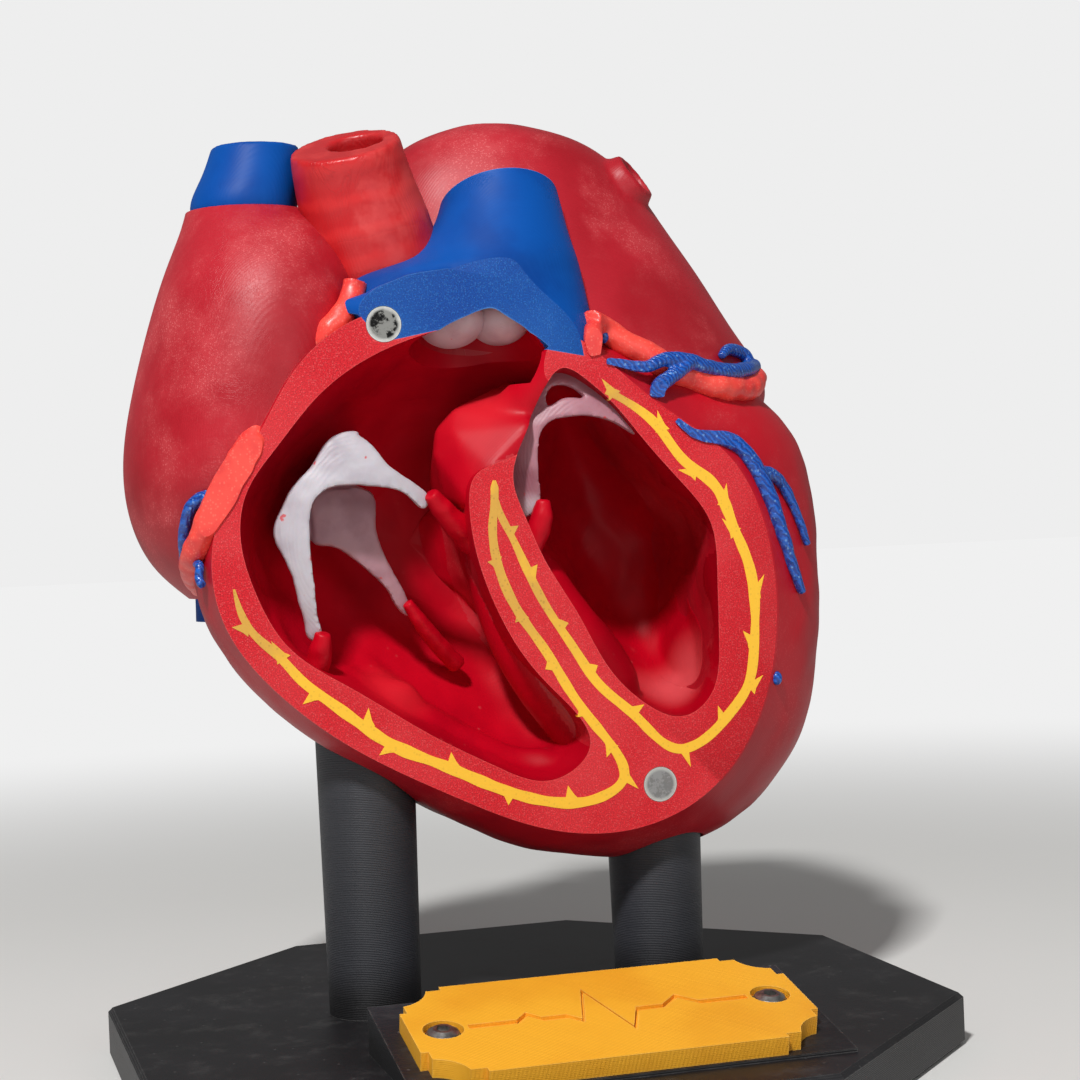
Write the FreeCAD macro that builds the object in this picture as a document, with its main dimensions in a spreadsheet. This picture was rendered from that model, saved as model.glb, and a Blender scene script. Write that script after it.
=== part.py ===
import FreeCAD, Part
import Sketcher
import math
import os

# Rear half of a life-size heart anatomy model on a two-post stand.
# Millimetres. +Z is up, the heart's flat cut face looks along -Y, and the
# origin is the centre of the base's underside.

Vector = FreeCAD.Vector
doc = FreeCAD.newDocument("heart_model")

# ---------------------------------------------------------------- sizes

SIZES = [
    ("base_across", 140.0, "base, across its flats"),
    ("base_thickness", 9.0, "base plate"),
    ("base_bevel", 0.8, "bevel round the base's top and bottom edges"),
    ("post_spacing", 52.5, "between the two posts' axes"),
    ("post_setback", 4.0, "posts' line behind the base's centre"),
    ("post_foot_diameter", 16.0, "post at the base"),
    ("post_top_diameter", 17.2, "post where it enters the heart"),
    ("spigot_diameter", 10.0, "spigot that sinks into the base"),
    ("spigot_depth", 5.0, "length of that spigot"),
    ("spigot_clearance", 0.15, "round a spigot and under it"),
    ("socket_clearance", 0.4, "round a post in the heart's socket"),
    ("seat_gap", 0.1, "between a post's top and its socket's floor"),
    ("left_socket_rise", 19.0, "left socket's floor above the cut face's lowest edge"),
    ("right_socket_rise", 8.5, "right socket's floor above the same edge"),
    ("wedge_width", 70.4, "sloping rest for the name plate"),
    ("wedge_depth", 32.2, "the same, front to back"),
    ("wedge_front_height", 0.6, "the same, at its front edge"),
    ("wedge_back_height", 7.6, "the same, at its back edge"),
    ("wedge_front", 58.8, "rest's front edge ahead of the base's centre"),
    ("wedge_shift", 1.2, "rest's middle to the right of the base's centre"),
    ("plate_width", 64.5, "name plate"),
    ("plate_depth", 30.8, "the same, up the slope"),
    ("plate_thickness", 3.0, "the same"),
    ("plate_scallop", 6.0, "radius of its hollow corners"),
    ("plate_step", 1.2, "step at each end of a hollow corner"),
    ("plate_rim", 0.5, "plate's lower edge up from the rest's front edge"),
    ("pulse_depth", 0.8, "engraved pulse line"),
    ("pulse_width", 1.5, "the same"),
    ("screw_spacing", 54.0, "between the plate's two screws"),
    ("screw_diameter", 3.0, "thread"),
    ("screw_reach", 5.0, "length under the head"),
    ("screw_head_diameter", 5.7, "button head"),
    ("screw_head_height", 1.6, "the same"),
    ("screw_socket", 2.0, "hexagon across its flats"),
    ("screw_recess", 1.4, "counterbore in the plate"),
    ("recess_clearance", 0.35, "round a head in its counterbore"),
    ("cut_offset", 10.0, "cut face ahead of the base's centre"),
    ("heart_gap", 30.0, "cut face's lowest edge above the base"),
    ("heart_width", 100.0, "cut face, side to side"),
    ("heart_height", 90.0, "cut face, bottom to top"),
    ("heart_depth", 60.0, "cut face to the back of the left atrium"),
    ("aorta_diameter", 19.4, "aorta at its cut top"),
    ("aorta_bore", 10.5, "the same, inside"),
    ("trunk_bore", 12.5, "pulmonary trunk's bore at its top"),
    ("cava_bore", 10.0, "bore of the two venae cavae"),
    ("cava_bore_depth", 9.0, "depth of those two bores"),
    ("lung_vein_diameter", 10.6, "pulmonary vein stub"),
    ("lung_vein_bore", 7.6, "the same, inside"),
    ("artery_diameter", 4.6, "coronary artery"),
    ("vein_diameter", 3.0, "cardiac vein"),
    ("sinus_diameter", 7.0, "coronary sinus"),
    ("leaflet_thickness", 1.2, "valve leaflets"),
    ("papillary_diameter", 4.2, "papillary muscle at its root"),
    ("strand_width", 1.7, "conduction strand in the cut face"),
    ("strand_depth", 1.2, "the same, into the face"),
    ("magnet_diameter", 6.0, "closing magnet"),
    ("magnet_thickness", 3.0, "the same"),
]

sheet = doc.addObject("Spreadsheet::Sheet", "sizes")
for row, (alias, value, meaning) in enumerate(SIZES, start=1):
    sheet.set(f"A{row}", alias)
    sheet.set(f"B{row}", str(value))
    sheet.set(f"C{row}", meaning)
    sheet.setAlias(f"B{row}", alias)
doc.recompute()


def size(alias):
    """The sheet's present value."""
    return float(sheet.get(alias))


# ---------------------------------------------------------------- sketches and bodies


def new_body(name):
    body = doc.addObject("PartDesign::Body", name)
    body.Label = name
    return body


def origin_plane(body, role):
    return [item for item in body.Origin.OriginFeatures if item.Role == role][0]


def new_sketch(body, name, role, rise=None):
    """Empty sketch on one of the body's own planes, raised by an expression."""
    sketch = body.newObject("Sketcher::SketchObject", name)
    sketch.AttachmentSupport = [(origin_plane(body, role), "")]
    sketch.MapMode = "FlatFace"
    if rise:
        sketch.setExpression("AttachmentOffset.Base.z", rise)
    return sketch


def drive(sketch, kind, expression, *where):
    """Adds one driven dimension to a sketch."""
    index = sketch.addConstraint(Sketcher.Constraint(kind, *where, 1.0))
    sketch.setExpression(f"Constraints[{index}]", expression)


def polygon(sketch, corners):
    """Closed outline whose corners are held by (across, up) expressions."""
    count = len(corners)
    first = sketch.GeometryCount
    spread = [Vector(math.cos(2 * math.pi * i / count), math.sin(2 * math.pi * i / count), 0)
              for i in range(count)]
    for i in range(count):
        sketch.addGeometry(Part.LineSegment(spread[i], spread[(i + 1) % count]), False)
    for i in range(count):
        nxt = first + (i + 1) % count
        sketch.addConstraint(Sketcher.Constraint("Coincident", first + i, 2, nxt, 1))
    for i, (across, up) in enumerate(corners):
        drive(sketch, "DistanceX", across, -1, 1, first + i, 1)
        drive(sketch, "DistanceY", up, -1, 1, first + i, 1)


def circle(sketch, across, up, radius):
    """Circle held by expressions for its centre and its radius."""
    index = sketch.addGeometry(Part.Circle(Vector(1, 1, 0), Vector(0, 0, 1), 1.0), False)
    drive(sketch, "DistanceX", across, -1, 1, index, 3)
    drive(sketch, "DistanceY", up, -1, 1, index, 3)
    drive(sketch, "Radius", radius, index)


def pad(body, sketch, length, symmetric=False):
    feature = body.newObject("PartDesign::Pad", sketch.Name + "_pad")
    feature.Profile = sketch
    feature.Midplane = symmetric
    feature.setExpression("Length", length)
    sketch.Visibility = False
    return feature


def pocket(body, sketch, depth):
    feature = body.newObject("PartDesign::Pocket", sketch.Name + "_pocket")
    feature.Profile = sketch
    feature.setExpression("Length", depth)
    sketch.Visibility = False
    return feature


def revolve(body, sketch):
    feature = body.newObject("PartDesign::Revolution", sketch.Name + "_turned")
    feature.Profile = sketch
    feature.ReferenceAxis = (sketch, ["V_Axis"])
    feature.Angle = 360.0
    return feature


def bevel_level(body, base, level, amount):
    """Chamfers the flat faces of base that lie at the given heights."""
    names = []
    for index, face in enumerate(base.Shape.Faces, start=1):
        box = face.BoundBox
        if box.ZLength < 1e-6 and any(abs(box.ZMin - height) < 1e-4 for height in level):
            names.append(f"Face{index}")
    feature = body.newObject("PartDesign::Chamfer", base.Name + "_bevel")
    feature.Base = (base, names)
    feature.setExpression("Size", amount)
    return feature


# ---------------------------------------------------------------- stand


def make_base():
    """Octagonal plate with a blind hole for each post's spigot."""
    body = new_body("base_plate")
    octagon = new_sketch(body, "base_octagon", "XY_Plane")
    half = "sizes.base_across / 2"
    flat = "sizes.base_across / 2 * tan(22.5 deg)"
    polygon(octagon, [
        (half, f"-{flat}"), (half, flat), (flat, half), (f"-{flat}", half),
        (f"-{half}", flat), (f"-{half}", f"-{flat}"), (f"-{flat}", f"-{half}"), (flat, f"-{half}"),
    ])
    plate = pad(body, octagon, "sizes.base_thickness")
    doc.recompute()
    bevel_level(body, plate, (0.0, size("base_thickness")), "sizes.base_bevel")
    holes = new_sketch(body, "spigot_holes", "XY_Plane", "sizes.base_thickness")
    radius = "sizes.spigot_diameter / 2 + sizes.spigot_clearance"
    for side in ("-", ""):
        circle(holes, f"{side}sizes.post_spacing / 2", "sizes.post_setback", radius)
    pocket(body, holes, "sizes.spigot_depth + sizes.spigot_clearance")
    return body


def make_post(name, side, socket_rise):
    """Turned post: spigot in the base, slightly wider where it enters the heart."""
    body = new_body(name)
    profile = new_sketch(body, name + "_profile", "XZ_Plane")
    top = (f"sizes.heart_gap + sizes.{socket_rise} * sizes.heart_height / 90"
           " - sizes.seat_gap")
    polygon(profile, [
        ("0", "-sizes.spigot_depth"), ("sizes.spigot_diameter / 2", "-sizes.spigot_depth"),
        ("sizes.spigot_diameter / 2", "0"), ("sizes.post_foot_diameter / 2", "0"),
        ("sizes.post_top_diameter / 2", top), ("0", top),
    ])
    revolve(body, profile)
    body.setExpression("Placement.Base.x", f"{side}sizes.post_spacing / 2")
    body.setExpression("Placement.Base.y", "sizes.post_setback")
    body.setExpression("Placement.Base.z", "sizes.base_thickness")
    return body


SLOPE = "atan((sizes.wedge_back_height - sizes.wedge_front_height) / sizes.wedge_depth)"
PLATE_MIDDLE = "sizes.plate_rim + sizes.plate_depth / 2"


def on_slope(body, across, along, above):
    """Lays a body on the sloping rest: across, up the slope, and out from it."""
    body.setExpression("Placement.Rotation.Axis.x", "1")
    body.setExpression("Placement.Rotation.Axis.z", "0")
    body.setExpression("Placement.Rotation.Angle", SLOPE)
    body.setExpression("Placement.Base.x", f"sizes.wedge_shift + {across}")
    body.setExpression("Placement.Base.y",
                       f"-sizes.wedge_front + ({along}) * cos({SLOPE}) - ({above}) * sin({SLOPE})")
    body.setExpression("Placement.Base.z",
                       "sizes.base_thickness + sizes.wedge_front_height"
                       f" + ({along}) * sin({SLOPE}) + ({above}) * cos({SLOPE})")


def make_wedge():
    """Sloping rest, with two pilot holes square to its slope for the plate's screws."""
    body = new_body("nameplate_wedge")
    side = new_sketch(body, "wedge_side", "YZ_Plane")
    polygon(side, [
        ("-sizes.wedge_front", "0"), ("sizes.wedge_depth - sizes.wedge_front", "0"),
        ("sizes.wedge_depth - sizes.wedge_front", "sizes.wedge_back_height"),
        ("-sizes.wedge_front", "sizes.wedge_front_height"),
    ])
    pad(body, side, "sizes.wedge_width", symmetric=True)
    holes = new_sketch(body, "pilot_holes", "XY_Plane")
    holes.setExpression("AttachmentOffset.Rotation.Axis.x", "1")
    holes.setExpression("AttachmentOffset.Rotation.Axis.z", "0")
    holes.setExpression("AttachmentOffset.Rotation.Angle", SLOPE)
    holes.setExpression("AttachmentOffset.Base.y", "-sizes.wedge_front")
    holes.setExpression("AttachmentOffset.Base.z", "sizes.wedge_front_height")
    for sign in ("-", ""):
        circle(holes, f"{sign}sizes.screw_spacing / 2", PLATE_MIDDLE, "sizes.screw_diameter / 2")
    pocket(body, holes, "sizes.screw_reach - sizes.plate_thickness + sizes.screw_recess")
    body.setExpression("Placement.Base.x", "sizes.wedge_shift")
    body.setExpression("Placement.Base.z", "sizes.base_thickness")
    return body


PULSE = [(-23, 0), (-15, 0), (-13, 2.2), (-11, 0), (-7, 0), (-5, -2), (-2, 8.5), (2, -6.5),
         (4.5, 0), (9, 0), (12, 3), (15, 0), (23, 0)]


def make_plate():
    """Plaque with hollow stepped corners, two counterbored holes and a pulse line."""
    body = new_body("name_plate")
    outline = new_sketch(body, "plate_outline", "XY_Plane")
    wide, deep = "sizes.plate_width / 2", "sizes.plate_depth / 2"
    notch = "sizes.plate_scallop - sizes.plate_step"
    step = "sizes.plate_step"
    corner = [
        (f"{wide}", f"({deep} - {notch} - {step})"),
        (f"({wide} - {step})", f"({deep} - {notch} - {step})"),
        (f"({wide} - {step})", f"({deep} - {step})"),
        (f"({wide} - {notch} - {step})", f"({deep} - {step})"),
        (f"({wide} - {notch} - {step})", f"{deep}"),
    ]
    turn = list(corner)
    turn += [(f"-{x}", y) for x, y in reversed(corner)]
    turn += [(f"-{x}", f"-{y}") for x, y in corner]
    turn += [(x, f"-{y}") for x, y in reversed(corner)]
    polygon(outline, turn)
    pad(body, outline, "sizes.plate_thickness")
    hollows = new_sketch(body, "hollow_corners", "XY_Plane", "sizes.plate_thickness")
    for x_side in ("-", ""):
        for y_side in ("-", ""):
            circle(hollows, f"{x_side}{wide}", f"{y_side}{deep}", "sizes.plate_scallop")
    pocket(body, hollows, "sizes.plate_thickness")
    for name, radius, depth in (
        ("screw_holes", "sizes.screw_diameter / 2", "sizes.plate_thickness"),
        ("counterbores", "sizes.screw_head_diameter / 2 + sizes.recess_clearance",
         "sizes.screw_recess"),
    ):
        sketch = new_sketch(body, name, "XY_Plane", "sizes.plate_thickness")
        for sign in ("-", ""):
            circle(sketch, f"{sign}sizes.screw_spacing / 2", "0", radius)
        pocket(body, sketch, depth)
    pulse = new_sketch(body, "pulse_line", "XY_Plane", "sizes.plate_thickness")
    drawn = size("plate_width")
    upper = [(f"{x / drawn:.4f} * sizes.plate_width",
              f"{y / drawn:.4f} * sizes.plate_width + sizes.pulse_width / 2") for x, y in PULSE]
    lower = [(f"{x / drawn:.4f} * sizes.plate_width",
              f"{y / drawn:.4f} * sizes.plate_width - sizes.pulse_width / 2") for x, y in PULSE]
    polygon(pulse, lower + upper[::-1])
    pocket(body, pulse, "sizes.pulse_depth")
    on_slope(body, "0", PLATE_MIDDLE, "0")
    return body


def make_screw(name, sign):
    """Button-head screw with a hexagon socket, seated in the plate's counterbore."""
    body = new_body(name)
    profile = new_sketch(body, name + "_profile", "XZ_Plane")
    head, shank = "sizes.screw_head_diameter / 2", "sizes.screw_diameter / 2"
    polygon(profile, [
        ("0", "-sizes.screw_reach"), (shank, "-sizes.screw_reach"), (shank, "0"), (head, "0"),
        (head, "sizes.screw_head_height * 0.3"), (f"{head} * 0.85", "sizes.screw_head_height * 0.7"),
        (f"{head} * 0.55", "sizes.screw_head_height"), ("0", "sizes.screw_head_height"),
    ])
    revolve(body, profile)
    socket = new_sketch(body, name + "_socket", "XY_Plane", "sizes.screw_head_height")
    corner = "sizes.screw_socket / 2 / cos(30 deg)"
    polygon(socket, [(f"{corner} * cos({60 * i} deg)", f"{corner} * sin({60 * i} deg)")
                     for i in range(6)])
    pocket(body, socket, "sizes.screw_head_height * 0.6")
    on_slope(body, f"{sign}sizes.screw_spacing / 2", PLATE_MIDDLE,
             "sizes.plate_thickness - sizes.screw_recess")
    return body


make_base()
make_post("left_post", "-", "left_socket_rise")
make_post("right_post", "", "right_socket_rise")
make_wedge()
make_plate()
make_screw("left_plate_screw", "-")
make_screw("right_plate_screw", "")

# ---------------------------------------------------------------- heart: drawing frame

# The heart is drawn at 100 wide, 90 high and 60 deep, with its cut face at
# y = -10 and that face's lowest edge at z = 39; place() gives it its real size.
DRAWN_WIDTH, DRAWN_HEIGHT, DRAWN_DEPTH = 100.0, 90.0, 60.0
DRAWN_FACE, DRAWN_FOOT = -10.0, 39.0

ACROSS = size("heart_width") / DRAWN_WIDTH
UP = size("heart_height") / DRAWN_HEIGHT
BACK = size("heart_depth") / DRAWN_DEPTH
FACE_Y = -size("cut_offset")
FOOT_Z = size("base_thickness") + size("heart_gap")


def place(x, y, z):
    return Vector(x * ACROSS, FACE_Y + (y - DRAWN_FACE) * BACK, FOOT_Z + (z - DRAWN_FOOT) * UP)


def ring(points):
    """Smooth closed wire through the points."""
    curve = Part.BSplineCurve()
    curve.interpolate(Points=points, PeriodicFlag=True)
    return Part.Wire([curve.toShape()])


def skin(rings):
    """Smooth solid through a row of closed wires."""
    solid = Part.makeLoft(rings, True, False, False, 3)
    if solid.Volume < 0:
        solid.reverse()
    return solid


def level_ring(z, left, right, front, back, corner=1.0, count=12):
    """Rounded outline at one height; corner above 1 squares it up."""
    middle_x, half_x = (left + right) / 2, (right - left) / 2
    middle_y, half_y = (front + back) / 2, (back - front) / 2
    points = []
    for i in range(count):
        angle = 2 * math.pi * i / count
        across, along = math.cos(angle), math.sin(angle)
        across = math.copysign(abs(across) ** (1 / corner), across)
        along = math.copysign(abs(along) ** (1 / corner), along)
        points.append(place(middle_x + half_x * across, middle_y + half_y * along, z))
    return ring(points)


def round_ring(centre, radius, count=12):
    """Level circle, drawn as a smooth closed wire so that it lofts with the others."""
    turns = [2 * math.pi * i / count for i in range(count)]
    return ring([centre + Vector(math.cos(turn), math.sin(turn), 0) * radius for turn in turns])


def face_ring(y, outline, scale=1.0, about=(0, 0), shift=(0, 0)):
    """An outline of the cut face, carried back to y and drawn in about a point."""
    return ring([place(about[0] + (x - about[0]) * scale + shift[0], y,
                       about[1] + (z - about[1]) * scale + shift[1]) for x, z in outline])


def tube(path, radii):
    """Round vessel along a smooth line through the path's points."""
    line = Part.BSplineCurve()
    line.interpolate(Points=path)
    spans = 2 * (len(path) - 1)
    first, last = line.FirstParameter, line.LastParameter
    rings = []
    side = None
    for i in range(spans + 1):
        at = first + (last - first) * i / spans
        centre = line.value(at)
        along = Vector(*line.tangent(at)[0])
        if side is None:
            side = along.cross(Vector(0.31, 0.17, 0.93))
        side = side - along * side.dot(along)
        side.normalize()
        other = along.cross(side)
        share = i / spans * (len(radii) - 1)
        low = min(int(share), len(radii) - 2)
        radius = radii[low] + (radii[low + 1] - radii[low]) * (share - low)
        turn = [side * (radius * math.cos(math.pi * k / 4)) + other * (radius * math.sin(math.pi * k / 4))
                for k in range(8)]
        rings.append(ring([centre + spoke for spoke in turn]))
    return skin(rings)


def cut(shape, *tools):
    """Takes the tools away and keeps what is left as one clean shape."""
    for tool in tools:
        if shape.BoundBox.intersect(tool.BoundBox):
            shape = shape.cut(tool)
    return shape


def largest(shape):
    """The largest solid of a shape."""
    return max(shape.Solids, key=lambda solid: solid.Volume)


FAR = 400.0
behind_face = Part.makeBox(FAR, FAR, FAR, Vector(-FAR / 2, FACE_Y, -FAR / 2))

# ---------------------------------------------------------------- heart: outlines

# Cut face, from its upper left corner down the left side and round.
RIM = [(-27, 128.5), (-37, 121.5), (-45, 109), (-51, 98.5), (-53.5, 88), (-51.5, 77.5),
       (-44.5, 67.5), (-32, 57), (-15, 47.5), (3, 40), (18, 39), (32, 44.5), (42, 57),
       (46, 73), (45, 89), (38.5, 103), (26, 112.5), (13.5, 122.8), (0, 130), (-14, 131)]
# The same muscle at its fullest, behind the cut.
GIRTH = [(-27, 122), (-38, 117), (-47, 107), (-52, 97), (-53.2, 87), (-50.8, 76),
         (-44, 65.5), (-32, 55), (-16, 43.5), (6, 34), (26, 32), (45, 37.5), (57.5, 52),
         (62, 72), (62.5, 91), (59, 107), (48, 117), (28, 120), (8, 121), (-12, 122)]
# Far back, where it rounds over to the underside of the atria.
REAR = [(-20, 104), (-29, 102), (-37, 96), (-42, 90), (-44, 82), (-43, 73),
        (-37, 64), (-26, 55), (-12, 46), (7, 40), (24, 40), (38, 46), (47, 58),
        (51, 72), (51, 86), (46, 97), (36, 104), (20, 107), (4, 107), (-10, 106)]
HEART_MIDDLE = (4, 76)

RIGHT_CHAMBER = [(-14, 126), (-24, 122.5), (-34, 116), (-42, 107), (-47.3, 99.5), (-48.5, 92.5),
                 (-46.3, 83), (-41.5, 74.2), (-31, 66.5), (-18, 58), (-6, 51.4), (4, 48.7),
                 (10.3, 53.5), (3.4, 65), (-3.6, 75), (-7.6, 85), (-9.3, 95), (-8, 101.4),
                 (-4, 103.4), (1.5, 106), (5.4, 113), (8, 119), (3.5, 125)]
RIGHT_CHAMBER_MIDDLE = (-20, 88)

LEFT_CHAMBER = [(8.4, 119.4), (12.8, 117), (17.4, 112.8), (22, 107.2), (29.3, 98.8), (34.2, 92),
                (35.2, 82), (35, 70), (33, 61.3), (28, 58), (21, 60.6), (14.5, 67.2), (9.2, 77),
                (3.7, 86.4), (0.3, 94.5), (-1.4, 101), (0.6, 107), (3.6, 113)]
LEFT_CHAMBER_MIDDLE = (20, 86)


def muscle_blank():
    return skin([
        face_ring(DRAWN_FACE, RIM),
        face_ring(-3, [((a + c) / 2, (b + d) / 2) for (a, b), (c, d) in zip(RIM, GIRTH)],
                  1.03, HEART_MIDDLE),
        face_ring(12, GIRTH),
        face_ring(34, REAR),
        face_ring(44, REAR, 0.66, HEART_MIDDLE),
        face_ring(48, REAR, 0.25, HEART_MIDDLE),
    ])


def right_chamber():
    # Straight back on the septum's side, drawn in on the free wall's side.
    return skin([
        face_ring(DRAWN_FACE - 1.5, RIGHT_CHAMBER),
        face_ring(DRAWN_FACE + 1.5, RIGHT_CHAMBER),
        face_ring(0, RIGHT_CHAMBER, 0.95, RIGHT_CHAMBER_MIDDLE, (1.2, 0)),
        face_ring(6, RIGHT_CHAMBER, 0.88, RIGHT_CHAMBER_MIDDLE, (2.8, 0)),
        face_ring(11, RIGHT_CHAMBER, 0.76, RIGHT_CHAMBER_MIDDLE, (4.2, 1)),
        face_ring(15, RIGHT_CHAMBER, 0.56, RIGHT_CHAMBER_MIDDLE, (5, 2)),
        face_ring(17.5, RIGHT_CHAMBER, 0.3, RIGHT_CHAMBER_MIDDLE, (5, 2)),
    ])


def left_chamber():
    return skin([
        face_ring(DRAWN_FACE - 3, LEFT_CHAMBER),
        face_ring(DRAWN_FACE + 1.5, LEFT_CHAMBER),
        face_ring(2, LEFT_CHAMBER, 0.95, LEFT_CHAMBER_MIDDLE, (2, 0)),
        face_ring(14, LEFT_CHAMBER, 0.80, LEFT_CHAMBER_MIDDLE, (5, 0)),
        face_ring(24, LEFT_CHAMBER, 0.52, LEFT_CHAMBER_MIDDLE, (7, 0)),
        face_ring(27, LEFT_CHAMBER, 0.22, LEFT_CHAMBER_MIDDLE, (7, 0)),
    ])


# Rows of (height, left, right, front, back).
TRUNK = [(119, -26, 17.5, -14, 9), (126, -27, 16.5, -14, 10), (132, -27.3, 16.1, -11.7, 11.5),
         (136, -25.5, 15.6, -10.7, 12.3), (139.5, -16.5, 15, -9.6, 13), (143, -12, 14.2, -8, 13.6),
         (149, -8.4, 13.5, -4.8, 15), (157, -6.3, 12.4, -1.2, 16.5)]
TRUNK_BORE = [(117, -15, 5, -12, 8), (122, -17, 6.2, -15, 8), (126, -15.8, 4.5, -14, 8),
              (129, -11, 1.5, -10.8, 8.5), (137, -7, 7.5, -5, 10)]
# Slanted ends of the trunk: its mouth, as (y, z), and its foot on the muscle, as (x, z).
TRUNK_TOP = [(-40, 177), (-1.5, 154.8), (40, 130.8), (40, 190), (-40, 190)]
TRUNK_FOOT = [(-40, 131), (-14.4, 126.3), (25, 119), (25, 100), (-40, 100)]
RIGHT_ATRIUM = [(82, -54, -34, 6, 26), (88, -60, -28, -2, 34), (96, -63.5, -24, -7, 39),
                (106, -64.3, -22, -9, 42), (118, -62.3, -20, -9.3, 42), (130, -59, -20, -8, 40),
                (140, -55.5, -22, -4, 36), (147, -52.5, -26, 3, 32), (150, -51.5, -30, 7, 29)]
LEFT_ATRIUM = [(100, -14, 46, 10, 40), (108, -22, 54, 0, 45), (116, -24, 57, -6, 48),
               (126, -24, 53, -3, 50), (138, -22, 46.5, 2, 50), (148, -19, 40, 6, 47),
               (157, -16, 33.5, 10, 42), (164, -8, 24, 15, 36), (167.5, 1, 13, 21, 30)]
UPPER_CAVA = [(146, -49, -32, 9, 26), (150, -50.8, -32, 7.5, 26.5), (156, -48.7, -31, 8.5, 26),
              (161.5, -46.5, -31, 10, 25.5)]
LOWER_CAVA = [(100, -50.5, -34.5, 26, 42), (92, -50.5, -34.5, 29.5, 45), (84, -50, -35, 31, 46),
              (77, -50, -35, 31, 46)]


def rows(table):
    return skin([level_ring(*row) for row in table])


def wedge(corners, run):
    """Large prism that cuts an end off at a slant."""
    return Part.Face(Part.makePolygon(corners + corners[:1])).extrude(run)


def ellipsoid(centre, across, along, up):
    """Ellipsoid about a drawn point, with drawn half axes."""
    matrix = FreeCAD.Matrix()
    matrix.scale(Vector(across * ACROSS, along * BACK, up * UP))
    matrix.move(place(*centre))
    return Part.makeSphere(1.0).transformGeometry(matrix)


def bowl(centre, half_axes, thickness):
    """Ellipsoid shell of real thickness."""
    wall = [thickness / scale for scale in (ACROSS, BACK, UP)]
    inner = [half - part for half, part in zip(half_axes, wall)]
    return ellipsoid(centre, *half_axes).cut(ellipsoid(centre, *inner))


def cookie(outline, front, back):
    """Prism with a smooth outline of the cut face, from front to back."""
    wire = ring([place(x, front, z) for x, z in outline])
    return Part.Face(wire).extrude(Vector(0, (back - front) * BACK, 0))


# ---------------------------------------------------------------- heart: full bodies

muscle_full = muscle_blank()
trunk_column = rows(TRUNK)
above_trunk = wedge([place(-60, y, z) for y, z in TRUNK_TOP], Vector(120 * ACROSS, 0, 0))
below_trunk = wedge([place(x, -60, z) for x, z in TRUNK_FOOT], Vector(0, 120 * BACK, 0))
trunk_full = cut(trunk_column.common(behind_face), above_trunk, below_trunk)
right_atrium_full = rows(RIGHT_ATRIUM)
left_atrium_full = rows(LEFT_ATRIUM)
upper_cava_full = rows(UPPER_CAVA)
lower_cava_full = rows(LOWER_CAVA)

AORTA_AXIS = [(-14, 10, 116), (-16.5, 9.2, 128), (-20, 8.2, 142), (-24, 6.6, 155.5), (-25.2, 5, 160)]
AORTA_BORE_AXIS = [(-20.4, 9, 149), (-23.4, 5, 160), (-24.6, 3.4, 164.4)]

aorta_wide = size("aorta_diameter") / 2
aorta_full = tube([place(*point) for point in AORTA_AXIS],
                  [aorta_wide * share for share in (1.13, 1.18, 1.15, 1)])
aorta_hollow = tube([place(*point) for point in AORTA_BORE_AXIS], [size("aorta_bore") / 2] * 2)

# ---------------------------------------------------------------- heart: hollows

# The septum swells forward above its cut edge and runs up in a crest to the valve.
SEPTUM_CREST = [(-6, 2, 106), (0, -0.5, 110.5), (4.5, -4, 115), (8.5, -8, 120.5)]
septum_bulge = ellipsoid((-5, 16, 106), 17, 13, 12)
septum_flap = ellipsoid((-4.5, 3.5, 104), 10.5, 12.5, 9.5)
septum_crest = tube([place(*point) for point in SEPTUM_CREST],
                    [radius * ACROSS for radius in (8, 5.5, 3.8, 3.2)])
right_hollow = cut(right_chamber(), septum_bulge, septum_flap, septum_crest)
left_hollow = left_chamber()
trunk_top = place(2.8, 7.3, 157)
trunk_rings = [level_ring(*row) for row in TRUNK_BORE]
for rise in (-8.0, 2.0):
    trunk_rings.append(round_ring(trunk_top + Vector(0, 0, rise), size("trunk_bore") / 2))
trunk_hollow = skin(trunk_rings)


def socket(side, rise):
    """Hole in the underside for a post."""
    radius = size("post_top_diameter") / 2 + size("socket_clearance")
    floor = FOOT_Z + size(rise) * UP
    return Part.makeCylinder(radius, floor, Vector(side * size("post_spacing") / 2,
                                                   size("post_setback"), 0))


sockets = [socket(-1, "left_socket_rise"), socket(1, "right_socket_rise")]

# ---------------------------------------------------------------- heart: inlays

LEFT_STRAND = [(16, 115.3), (20, 113), (25, 109), (30, 102.5), (35, 98.5), (38.5, 91), (41, 84.5),
               (42, 77), (41.5, 69), (40, 62.5), (36.5, 58), (32, 54), (27, 52.3), (19, 58.5),
               (12.5, 64.5), (8.5, 70.5), (3.5, 78.5), (-0.5, 87), (-3.4, 93)]
LEFT_THORNS = [((15.5, 117), (17.5, 114.3)), ((25.3, 111.2), (26, 108)), ((29, 101), (32, 100.4)),
               ((37.5, 98), (37, 94.5)), ((36.7, 92), (39, 89.5)), ((43.8, 81.7), (42, 78.5)),
               ((39.8, 72), (41.5, 70)), ((42.7, 64), (40.4, 62)), ((34.4, 59), (35.2, 56.5)),
               ((28.6, 49.4), (27.5, 52.6)), ((20.2, 60.3), (18.2, 59.2)), ((12, 67.6), (10.8, 67)),
               ((7, 75.3), (5.6, 75)), ((2, 85.4), (0.8, 84)), ((-1.2, 92.3), (-2.8, 91.3))]
RIGHT_STRAND = [(-5, 100), (-5.6, 93), (-4.5, 85), (-1, 77), (3, 71), (7, 64), (11.5, 57.5),
                (14.5, 53.5), (16.3, 48), (12, 45), (4.5, 44.6), (-2.5, 46.4), (-9.5, 49.4),
                (-16.5, 52.8), (-24, 56.3), (-30, 60.6), (-35.5, 65), (-39.5, 68.4), (-43, 72.5),
                (-47, 76.4), (-49, 80), (-50, 84)]
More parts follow.
